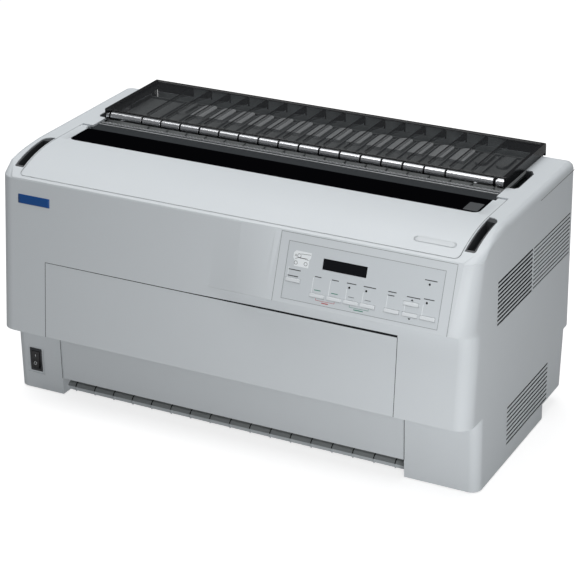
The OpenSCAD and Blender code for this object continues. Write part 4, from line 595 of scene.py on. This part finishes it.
def makePanelPrint(p):
    x0, x1, v0, v1 = p["frame"]
    w = p["frameLine"]

    def show(name, outlines, finish):
        printFilm(name, outlines, finish, "printer", onPanel)

    def marks(at, long, half):
        return [rect(x, x + long, v - half, v + half) for x, v in at]

    def bracket(a, b, low):
        top = p["bracketTop"]
        return stroke([(a, top), (a, low), (b, low), (b, top)], p["bracketLine"])
    show("panelFrameLine", [rect(x0, x1, v0, v0 + w), rect(x0, x1, v1 - w, v1),
                            rect(x0, x0 + w, v0 + w, v1 - w), rect(x1 - w, x1, v0 + w, v1 - w)], "inkGrey")
    show("panelGuideLines", [rect(x, x + p["guideLine"], a, b) for x, a, b in p["guides"]], "inkLight")
    h = p["labelHalf"]
    show("panelLabelBars", [rect(x, x + n, v - h, v + h) for x, v, n in p["labels"]], "inkDark")
    show("panelGreenMarks", marks(p["greenMarks"], p["greenLong"], p["greenHalf"]) + bracket(*p["green"])
         + [rect(*p["greenTag"], *p["tagV"])], "inkGreen")
    show("panelGreyMarks", marks(p["greyMarks"], p["greyLong"], p["greyHalf"]), "inkGrey")
    show("panelRedMarks", bracket(*p["red"]) + [rect(*p["redTag"], *p["tagV"])], "inkRed")
    show("feedArrows", p["arrows"], "inkDark")


makePanelPrint(panelPrint)

# A small generic drawing of a paper path: a pale field, and on it rollers as x, v, radius, and broken lines
pictogram = {"field": [(106, 21.8), (127.5, 22.0), (127.5, 28.8), (125.5, 30.8), (125.5, 41.5), (105.5, 41.5),
                       (105.5, 34.8), (103, 30.8), (103, 24.8)], "fieldThick": 0.05, "line": 0.45, "rise": 0.06,
             "rollers": [(111, 27.8, 2.4), (107.4, 37.2, 2.2), (121.2, 36.8, 2.2)],
             "lines": [[(106, 32.3), (111, 30.2), (122.5, 30.2)], [(109, 30.6), (118, 30.6), (124.5, 31.8)],
                       [(113.4, 25.2), (126.5, 24.6)], [(104.8, 29.4), (106.2, 26.8), (107.4, 29.4)]]}


def makePictogram(p):
    printFilm("pathField", [p["field"]], "inkLight", "printer", onPanel, thick=p["fieldThick"])
    lines = [s for x, v, r in p["rollers"] for s in ring(x, v, r, p["line"])]
    lines += [s for points in p["lines"] for s in stroke(points, p["line"])]
    printFilm("pathLines", lines, "inkDark", "printer", lambda x, v, d: onPanel(x, v, d + p["rise"]))


makePictogram(pictogram)

# The case's front face and the deck, on which the badge, the plate and the seams lie
frontFace = {"lowY": -35.2, "lowZ": 106.0, "highY": -11.0, "highZ": 322.0}
deckCurve = {"z": 346.0, "kneeY": 90.0, "drop": 22.0, "reach": 98.0, "power": 2.2}


def frontRow(z):
    f = frontFace
    return f["lowY"] + (np.asarray(z, float) - f["lowZ"]) / (f["highZ"] - f["lowZ"]) * (f["highY"] - f["lowY"])


def onFront(x, z, d=0.0):
    f = frontFace
    lean = math.atan2(f["highY"] - f["lowY"], f["highZ"] - f["lowZ"])
    return place(x, frontRow(z) - np.asarray(d) * math.cos(lean),
                 np.asarray(z, float) + np.asarray(d) * math.sin(lean))


def coverTop(y):
    # height of the deck: a falling curve in front of the knee
    c = deckCurve
    fall = c["drop"] * (np.clip(c["kneeY"] - y, 0, None) / c["reach"]) ** c["power"]
    return np.where(y > c["kneeY"], c["z"], c["z"] - fall)


def onCover(x, y, d=0.0):
    return place(x, y, coverTop(np.asarray(y, float)) + np.asarray(d))


def roundedRect(x0, x1, y0, y1, r, n=5):
    a = np.linspace(0, math.pi / 2, n)
    corners = [(x1 - r, y1 - r), (x0 + r, y1 - r), (x0 + r, y0 + r), (x1 - r, y0 + r)]
    turns = [a + k * math.pi / 2 for k in range(4)]
    return np.concatenate([np.stack([x + r * np.cos(t), y + r * np.sin(t)], 1)
                           for (x, y), t in zip(corners, turns)])


# A slightly crowned plate: a rounded outline raised by a soft dome on a grid of rings
plates = {"badge": (-317.8, -268.0, 289.0, 301.5), "badgeRound": 0.8, "badgeThick": 0.5, "badgeCrown": 0.15,
          "lid": (252.0, 309.0, 10.0, 18.5), "lidThick": 0.12, "lidCrown": 0.08, "rings": 6, "rimDrop": 0.35,
          "sunk": -0.15}


def crownedPlate(name, outline, where, thick, crown, finish, body, c):
    # height = thick + crown * (1 - s squared), where s runs from 0 at the centre to 1 at the rim
    p = np.asarray(outline, float)
    centre = (p.min(0) + p.max(0)) / 2
    s = np.linspace(0, 1, c["rings"] + 1)[1:]
    q = centre + (p - centre)[None] * s[:, None, None]
    d = thick + crown * (1 - s ** 2)[:, None] * np.ones(len(p))
    d[-1] -= c["rimDrop"] * thick
    verts = np.concatenate([where(*centre, thick + crown)[None], where(q[..., 0], q[..., 1], d).reshape(-1, 3),
                            where(p[:, 0], p[:, 1], c["sunk"])])
    k = len(p)
    faces = [(0, 1 + i, 1 + (i + 1) % k) for i in range(k)] + ringFaces(k, c["rings"], 1, False)
    addPiece(name, verts, faces, finish, body, smooth=True)


crownedPlate("frontBadge", roundedRect(*plates["badge"], plates["badgeRound"])[::-1], onFront,
             plates["badgeThick"], plates["badgeCrown"], "badge", "printer", plates)
crownedPlate("coverPlate", pill(*plates["lid"]), onCover, plates["lidThick"], plates["lidCrown"], "plate",
             "top_cover", plates)
print("panel prints and plates made")


# A seam is a thin dark ribbon of painted shade along a path on a surface, standing for the shadow in a narrow gap
# between parts, and its section is a closed flat prism
seamSunk = 0.1


def seamLine(name, centre, side, out, width, body, finish="seam", thick=0.06):
    # corner = centre + side * (+-width / 2) + out * (thick or -seamSunk), in millimetres
    c = np.asarray(centre, float)
    w = np.broadcast_to(np.asarray(width, float), (len(c),))[:, None] / 2
    s, o = (np.broadcast_to(np.asarray(v, float), c.shape) for v in (side, out))
    p = np.stack([c - s * w + o * thick, c + s * w + o * thick, c + s * w - o * seamSunk,
                  c - s * w - o * seamSunk], 1).reshape(-1, 3)
    faces = ringFaces(4, len(c) - 1, 0, False) + [[3, 2, 1, 0], 4 * len(c) - 4 + np.arange(4)]
    addPiece(name, place(p[:, 0], p[:, 1], p[:, 2]), faces, finish, body, turnOut=True)


def rowOf(x, y, z):
    return np.stack(np.broadcast_arrays(np.asarray(x, float), np.asarray(y, float), np.asarray(z, float)), -1)


# The painted shadow under the panel's overhang, in the gap above the front cover, widens to the right: x of its
# four places, and its width there;
# points is how many each path has
caseSeams = {"coverX": (-275.15, 247.65), "coverZ": (106.2, 212.15), "thin": 0.7, "gapSink": 0.15,
             "gapX": (-275.0, -60.0, 60.0, 247.5), "gapW": (0.6, 1.0, 2.4, 3.0),
             "pillarX": (-276.9, 247.1), "pillarZ": (26.0, 105.6), "lidX": 320.15, "lidFrontY": -5.35,
             "lidCorner": 7.0, "lidRearY": 150.0, "lidW": 0.85, "panelX": (82.0, 322.4), "panelV": (0.6, 90.0),
             "panelTopV": 0.9, "panelW": 0.65, "outFront": (0, -0.9938, 0.1114), "upFront": (0, 0.1114, 0.9938),
             "edgeX": 350.0, "edgeY": (190, 311), "edgeZ": 334.4, "edgeW": (0.5, 1.1), "edgeThick": 0.05,
             "points": {"cover": 8, "gap": 60, "pillar": 5, "corner": 9, "lidSide": 50, "lidFront": 80,
                        "panelSide": 6, "panelTop": 30, "edge": 30}}


def makeSeams(c):
    n = c["points"]
    z = np.linspace(*c["coverZ"], n["cover"])
    for side, x in zip(("Left", "Right"), c["coverX"]):
        seamLine("coverSeam" + side, rowOf(x, frontRow(z), z), (1, 0, 0), c["outFront"], c["thin"], "printer")
    # painted shadow under the panel's overhang: a black ribbon that widens to the right
    x = np.linspace(*c["coverX"], n["gap"])
    w = np.interp(x, c["gapX"], c["gapW"])
    z = c["coverZ"][1] - c["gapSink"] + w / 2
    seamLine("coverGap", rowOf(x, frontRow(z), z), c["upFront"], c["outFront"], w, "printer")
    z = np.linspace(*c["pillarZ"], n["pillar"])
    for side, x in zip(("Left", "Right"), c["pillarX"]):
        seamLine("pillarSeam" + side, rowOf(x, 0.0, z), (1, 0, 0), (0, -1, 0), c["thin"], "printer")
    a = np.linspace(0, math.pi / 2, n["corner"])
    r, lx, ly = c["lidCorner"], c["lidX"], c["lidFrontY"]
    y = np.linspace(c["lidRearY"], ly + r, n["lidSide"])
    right = np.stack([np.full_like(y, lx), y], 1)
    corner = np.stack([lx - r + r * np.cos(a), ly + r - r * np.sin(a)], 1)
    x = np.linspace(lx - r, -lx + r, n["lidFront"])
    front = np.stack([x, np.full_like(x, ly)], 1)
    path = np.concatenate([right, corner[1:], front[1:], (corner[1:] * (-1, 1))[::-1], (right * (-1, 1))[::-1]])
    t = np.gradient(path, axis=0)
    t /= np.linalg.norm(t, axis=1)[:, None]
    side = rowOf(-t[:, 1], t[:, 0], 0)
    seamLine("lidSeam", rowOf(path[:, 0], path[:, 1], coverTop(path[:, 1])), side, (0, 0, 1), c["lidW"],
             "printer", "seamShadeGrey")
    # the panel's own seams, along its sides and its top edge
    a = panelPlane["tilt"]
    outward = (0, -math.sin(a), math.cos(a))
    slope = (0, -math.cos(a), -math.sin(a))

    def onSlope(x, v):
        return rowOf(x, panelPlane["topY"] - v * math.cos(a), panelPlane["topZ"] - v * math.sin(a))
    v = np.linspace(*c["panelV"], n["panelSide"])
    for name, x in zip(("Left", "Right"), c["panelX"]):
        seamLine("panelSeam" + name, onSlope(x, v), (1, 0, 0), outward, c["panelW"], "printer", "seamShadeGrey")
    x = np.linspace(*c["panelX"], n["panelTop"])
    seamLine("panelSeamTop", onSlope(x, c["panelTopV"]), slope, outward, c["panelW"], "printer", "seamShadeGrey")


makeSeams(caseSeams)


def plateBlock(name, lo, hi, finish, body, edge):
    # a box from its two corners in millimetres, with the edges of its bottom and top cut back
    lo, hi = np.asarray(lo, float), np.asarray(hi, float)
    rows = [(lo[2], edge), (lo[2] + edge, 0), (hi[2] - edge, 0), (hi[2], edge)]
    p = np.array([[x, y, z] for z, i in rows for x, y in rect(lo[0] + i, hi[0] - i, lo[1] + i, hi[1] - i)])
    addPiece(name, place(p[:, 0], p[:, 1], p[:, 2]), ringFaces(4, 3) + [[3, 2, 1, 0], [12, 13, 14, 15]],
             finish, body)


def boxField(name, lows, highs, finish, body):
    # many plain boxes as one mesh: corner k of a box takes its low or high value by the bits of k
    lo, hi = (np.stack(np.broadcast_arrays(*v), -1) if isinstance(v, tuple) else np.asarray(v, float)
              for v in (lows, highs))
    bits = np.array([[k & 1, k >> 1 & 1, k >> 2 & 1] for k in range(8)])
    p = (lo[:, None] + (hi - lo)[:, None] * bits[None]).reshape(-1, 3)
    sides = np.array([[0, 2, 3, 1], [4, 5, 7, 6], [0, 1, 5, 4], [2, 6, 7, 3], [0, 4, 6, 2], [1, 3, 7, 5]])
    faces = (np.arange(len(lo))[:, None, None] * 8 + sides[None]).reshape(-1, 4)
    addPiece(name, place(p[:, 0], p[:, 1], p[:, 2]), faces, finish, body)


# Painted shade in the side vents: a black bar in each slot, a little below the case's face, stands for the dark
# inside of the case.
# A group is its first and last y, the z of its first slot and of its last slot's top, its count and slot height
ventShadeBars = {"x": (346.0, 349.5), "play": 0.05,
            "groups": {"upperFront": (51.6, 168.4, 216.0, 277.0, 11, 3.4),
                       "upperRear": (171.6, 303.4, 217.0, 276.0, 11, 2.2),
                       "lower": (94.1, 238.4, 25.5, 81.0, 9, 3.0)}}


def makeVentShadeBars(c):
    for side, end in ((-1, "Left"), (1, "Right")):
        x0, x1 = sorted(side * v for v in c["x"])
        for group, (y0, y1, z0, z1, count, h) in c["groups"].items():
            z = z0 + np.arange(count) * (z1 - z0 - h) / (count - 1)
            boxField("ventShade_" + group + end, (x0, y0, z + c["play"]), (x1, y1, z + h - c["play"]), "ventShadeBlack",
                     "printer")


makeVentShadeBars(ventShadeBars)


def drawnAlong(name, outline, spans, finish, body):
    # an outline in y and z is copied at both ends of each span of x, and joined
    p = np.asarray(outline, float)
    verts = [place(x, p[:, 0], p[:, 1]) for span in spans for x in span]
    addPiece(name, verts, prismFaces(len(p), len(spans)), finish, body, turnOut=True)


# Painted shade on the lower paper guide, which lies in shadow behind the paper slot: a grey film on its front
# edge and slope, with black lines over its ribs; a lift is the film's thickness in y and z, and the ribs are the
# first x, the pitch and the count
guideShade = {"x": (-276.6, 246.8), "lift": (-0.1, 0.3), "ribs": (-264.8, 30.8, 17), "ribW": 1.4,
              "ribLift": (-0.15, 0.25),
              "slope": ((11.85, 9.6), (11.85, 10.6), (14.9, 13.6), (27.1, 17.1), (32.0, 23.3), (34.9, 35.0),
                        (34.9, 98.0))}


def makeGuideShade(c):
    top = np.array(c["slope"]) + c["lift"]
    drawnAlong("guideShade", np.concatenate([c["slope"], top[::-1]]), [c["x"]], "guidePlate", "printer")
    first, step, count = c["ribs"]
    x = first + step * np.arange(count)
    raised = np.concatenate([top, (top + c["ribLift"])[::-1]])
    drawnAlong("guideShadeRibs", raised, np.stack([x, x + c["ribW"]], 1), "rib", "printer")


makeGuideShade(guideShade)


def turnedBar(name, xs, rs, finish, n, c):
    # a bar along x: the radius is given at each x, and the skin is that profile swept round the axis in n steps
    x, r = np.asarray(xs, float), np.asarray(rs, float)
    a = np.arange(n) * 2 * math.pi / n
    y, z = c["axis"]
    verts = place(np.repeat(x, n), y + np.outer(r, np.cos(a)).ravel(), z + np.outer(r, np.sin(a)).ravel())
    faces = ringFaces(n, len(x) - 1) + [range(n), (len(x) - 1) * n + np.arange(n)[::-1]]
    bar = addPiece(name, verts, faces, finish, "tension_roller", smooth=True, turnOut=True)
    bar.data.set_sharp_from_angle(angle=math.radians(c["sharpAngle"]))
    return bar


# The roller bar under the smoked cover's front edge: chrome rollers parted by black rings, which stand over
# narrow waists; its rings and the smoked cover's ribs share one pitch
pitch, firstRib = 30.8, -243.0
rollerBar = {"axis": (187.0, 350.0), "x": (-294.0, 286.0), "r": 6.0, "waist": 4.6, "chamfer": 0.4, "end": 0.5,
             "ringW": 2.0, "ringR": 5.95, "ringCut": (0.2, 0.3), "rings": 16, "play": 0.1,
             "endRings": (-295.2, 287.3), "barSides": 40, "ringSides": 28, "sharpAngle": 35}


def makeRollerBar(c):
    x0, x1 = c["x"]
    r, e, f = c["r"], c["end"], c["chamfer"]
    rings = firstRib + pitch * np.arange(c["rings"])
    w = c["ringW"] / 2
    h = w + c["play"]
    steps = (rings[:, None] + (-h - f, -h, -h, h, h, h + f)).ravel()
    radii = np.tile((r, r - f, c["waist"], c["waist"], r - f, r), len(rings))
    bar = turnedBar("rollerBar", [x0, x0 + e, *steps, x1 - e, x1], [r - e, r, *radii, r, r - e], "roller",
                    c["barSides"], c)
    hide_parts("tension_rollers")
    long, deep = c["ringCut"]
    for i, x in enumerate([*rings, *c["endRings"]]):
        turnedBar(f"rollerRing{i}", (x - w, x - w + long, x + w - long, x + w),
                  c["ringR"] - np.array([deep, 0, 0, deep]), "rib", c["ringSides"], c)


makeRollerBar(rollerBar)

# Inside of the smoked cover: black ribs under its top that run down to the rear wall, grey panels between them
# on that wall, black bands along the top's edges, and black linings as pairs of corners
smokeParts = {"ribs": 17, "ribHalf": 0.6, "ribOutline": [(196.2, 357.95), (199.0, 357.0), (285.8, 357.0),
                                                         (313.8, 347.6), (322.8, 347.6), (322.8, 354.6),
                                                         (320.6, 357.95)],
              "panelY": (322.5, 323.0), "panelZ": (342.8, 356.4), "panelInset": 1.2,
              "bandZ": (360.3, 360.58), "bands": [((-303.4, 184.0), (-297.4, 321.8)),
                                                  ((299.4, 184.0), (303.4, 321.8)),
                                                  ((-297.4, 319.6), (299.4, 321.8))],
              "linings": [((-300.8, 323.05, 342.5), (300.8, 323.25, 354.8)),
                          ((-300.85, 205.0, 347.4), (-300.6, 322.8, 357.8)),
                          ((300.6, 205.0, 347.4), (300.85, 322.8, 357.8))]}


def makeSmokeParts(c):
    x = firstRib + pitch * np.arange(c["ribs"])
    h = c["ribHalf"]
    drawnAlong("smokeRibs", c["ribOutline"], np.stack([x - h, x + h], 1), "rib", "exit_cover")
    g, (y0, y1), (z0, z1) = c["panelInset"], c["panelY"], c["panelZ"]
    boxField("rearPanels", (x[:-1] + g, y0, z0), (x[1:] - g, y1, z1), "rearPanel", "exit_cover")
    low, high = c["bandZ"]
    boxField("smokeBands", [(*a, low) for a, b in c["bands"]], [(*b, high) for a, b in c["bands"]], "rib",
             "exit_cover")
    boxField("smokeLining", [a for a, b in c["linings"]], [b for a, b in c["linings"]], "rib", "exit_cover")


makeSmokeParts(smokeParts)

# The smoked cover's walls and rims read darker than its top, because the eye looks along the plastic there:
# a face whose centre lies past these limits, in metres, takes the edge finish
smokeRim = {"sideX": 0.3005, "rearY": 0.3205, "frontY": 0.1845}


def darkenRims(c):
    skin = bpy.data.objects["exit_coverSoft"].data
    skin.materials.append(finishes["smokeEdge"])
    centres = np.empty(len(skin.polygons) * 3)
    skin.polygons.foreach_get("center", centres)
    x, y = centres.reshape(-1, 3).T[:2]
    rim = (np.abs(x) > c["sideX"]) | (y > frontY + c["rearY"]) | (y < frontY + c["frontY"])
    skin.polygons.foreach_set("material_index", rim.astype(np.int32))


darkenRims(smokeRim)

# A strip on the case's rear sill, and an upright flange that closes the gap below the smoked cover's rear wall,
# each as two corners, a finish and the width of its cut edges
rearSill = {"sillStrip": ((-303.0, 303.2, 335.8), (303.0, 317.0, 336.5), "guidePlate", 0.1),
            "sillFlange": ((-299.0, 316.3, 336.0), (299.0, 317.1, 344.8), "rearPanel", 0.1)}
for name, (lo, hi, finish, edge) in rearSill.items():
    plateBlock(name, lo, hi, finish, "printer", edge)

# Grey pads on the exit guide's own pads, round at the rear: the first x and the count of the pads
padCaps = {"x": (firstRib + pitch * 1.5, 14), "half": 10.5, "round": 9.0, "y": (254.0, 301.0),
           "z": (338.9, 343.35), "points": 13}


def makePads(c):
    # the rear edge is half an ellipse, half wide and round deep
    first, count = c["x"]
    h, r, (y0, y1) = c["half"], c["round"], c["y"]
    a = np.linspace(0, math.pi, c["points"])
    rear = np.stack([h * np.cos(a), y1 - r + r * np.sin(a)], 1)
    p = np.concatenate([rear, [[-h, y0], [h, y0]]])
    verts = [place(first + n * pitch + p[:, 0], p[:, 1], z) for n in range(count) for z in c["z"]]
    addPiece("padCaps", verts, prismFaces(len(p), count), "pad", "printer")


makePads(padCaps)

# A dark film of painted shade on the tear bar's flange leaves two thin bright lines
tearShade = {"low": (-303.0, 166.4, 344.15), "high": (303.0, 170.2, 344.32), "edge": 0.03}
plateBlock("tearShade", tearShade["low"], tearShade["high"], "strip", "printer", tearShade["edge"])


def makeGrooves(c):
    # a groove's painted shade: a dark strip along the rear of the case's upper side edges, wider towards its rear
    # end
    n = c["points"]["edge"]
    for side, end in ((-1, "Left"), (1, "Right")):
        seamLine("edgeGroove" + end, rowOf(side * c["edgeX"], np.linspace(*c["edgeY"], n), c["edgeZ"]), (0, 0, 1),
                 (side, 0, 0), np.linspace(*c["edgeW"], n), "printer", "tab", c["edgeThick"])


makeGrooves(caseSeams)

# The top cover's window: a black pane with rounded front corners, and a grey tab at its right end
windowPane = {"x": 304.0, "y": (91.5, 139.5), "z": (343.2, 345.85), "r": 8.0, "edge": 0.35,
              "tab": (281.0, 301.0, 95.5, 121.0), "tabRound": 2.0, "tabSunk": 0.5, "tabRise": 0.5, "tabEdge": 0.3,
              "cornerTop": 346.0, "cornerEdge": 0.05, "points": 9}


def extruded(name, outline, z, edge, finish, body):
    # a flat outline drawn up between two heights, its top edge cut back all round
    p = np.asarray(outline, float)
    c = p.mean(0)
    shrink = p + (c - p) / np.linalg.norm(c - p, axis=1)[:, None] * edge
    k = len(p)
    verts = [place(q[:, 0], q[:, 1], h) for q, h in ((p, z[0]), (p, z[1] - edge), (shrink, z[1]))]
    faces = [np.arange(k)[::-1], 2 * k + np.arange(k), *ringFaces(k, 2)]
    return addPiece(name, verts, faces, finish, body)


def makeWindow(c):
    a = np.linspace(0, math.pi / 2, c["points"])
    r, x, (y0, y1) = c["r"], c["x"], c["y"]
    left = np.stack([-x + r - r * np.cos(a), y0 + r - r * np.sin(a)], 1)
    right = np.stack([x - r + r * np.sin(a), y0 + r - r * np.cos(a)], 1)
    outline = np.concatenate([left, right, [[x, y1]], [[-x, y1]]])
    pane = extruded("windowPane", outline, c["z"], c["edge"], "window", "top_cover")
    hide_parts("cover_window")
    top = c["z"][1]
    extruded("windowTab", roundedRect(*c["tab"], c["tabRound"]), (top - c["tabSunk"], top + c["tabRise"]),
             c["tabEdge"], "tab", "top_cover")
    # the two front corners of the opening that the round pane leaves are filled with the case's own grey
    for side, name in ((-1, "Left"), (1, "Right")):
        arc = np.stack([side * (x - r) + side * r * np.sin(a), y0 + r - r * np.cos(a)], 1)
        fill = np.concatenate([arc, [[side * x, y0]]])[::side]
        extruded("windowCorner" + name, fill, (c["z"][0], c["cornerTop"]), c["cornerEdge"], "case", "top_cover")


makeWindow(windowPane)

# White marks on the power switch: a bar on the rocker's upper half as x, z, height, and a ring on its lower
# half as x, z, radius; the rocker's face stands nearer before its axle than at its ends
rockerMarks = {"at": (-319.7, 7.2, 46.0), "tilt": math.radians(-8.0), "face": 8.3, "bow": 1.3, "half": 11.9,
               "bar": (0.0, 5.6, 3.0), "ring": (0.0, -5.8, 2.0), "line": 0.75}


def makeRockerMarks(c):
    def onRocker(x, z, d=0.0):
        # y = -(face + bow * |z| / half) - d, turned about x by the tilt
        x, z, d = np.broadcast_arrays(np.asarray(x, float), np.asarray(z, float), np.asarray(d, float))
        y = -c["face"] - c["bow"] * np.abs(z) / c["half"] - d
        s, k = math.sin(c["tilt"]), math.cos(c["tilt"])
        return place(c["at"][0] + x, c["at"][1] + y * k - z * s, c["at"][2] + y * s + z * k)
    w = c["line"]
    x, z, h = c["bar"]
    printFilm("switchBar", [rect(x - w / 2, x + w / 2, z - h / 2, z + h / 2)], "markWhite", "rocker", onRocker)
    printFilm("switchRing", ring(*c["ring"], w), "markWhite", "rocker", onRocker)


makeRockerMarks(rockerMarks)
print("seams, ventShades, window and switch marks made")

# Screw heads at the back: their x and z, and the case's rear face
rearScrews = {"at": ((-330, 120), (330, 120), (-330, 300), (0, 300), (330, 300), (0, 125)), "y": 317.2,
              "r": 3.6, "rise": 1.3, "steep": 0.96, "sunk": 0.2, "slotW": 0.8, "slotLong": 0.62,
              "slotDeep": 0.25, "slotRise": 0.06, "sides": 20, "rings": 5}


def makeScrews(c):
    # a head is a dome, rise * sqrt(1 - (steep * t) squared) at the share t of its radius, turned about y;
    # a cross cut is drawn as two dark bars of painted shade on its crown, standing for the shadow in the recess
    n, rings, y = c["sides"], c["rings"], c["y"]
    a = np.arange(n) * 2 * math.pi / n
    t = np.linspace(0, 1, rings + 1)[1:]
    r = c["r"] * t
    d = c["rise"] * np.sqrt(1 - (t * c["steep"]) ** 2)
    w, l, crown = c["slotW"] / 2, c["r"] * c["slotLong"], y + c["rise"]
    verts, faces, lows, highs = [], [], [], []
    for m, (x, z) in enumerate(c["at"]):
        verts += [place(x, crown, z)[None],
                  place(x + np.outer(r, np.cos(a)).ravel(), y + np.repeat(d, n),
                        z + np.outer(r, np.sin(a)).ravel()),
                  place(x + r[-1] * np.cos(a), np.full(n, y - c["sunk"]), z + r[-1] * np.sin(a))]
        b = m * (1 + n * (rings + 1)) + 1
        faces += [[b - 1, b + k, b + (k + 1) % n] for k in range(n)] + ringFaces(n, rings, b, False)
        faces.append(b + rings * n + np.arange(n))
        for dx, dz in ((l, w), (w, l)):
            lows.append((x - dx, crown - c["slotDeep"], z - dz))
            highs.append((x + dx, crown + c["slotRise"], z + dz))
    addPiece("rearScrews", np.concatenate(verts), faces, "steel", "printer", smooth=True, turnOut=True)
    boxField("rearScrewSlotShade", lows, highs, "rib", "printer")


makeScrews(rearScrews)
print("rear screws made")
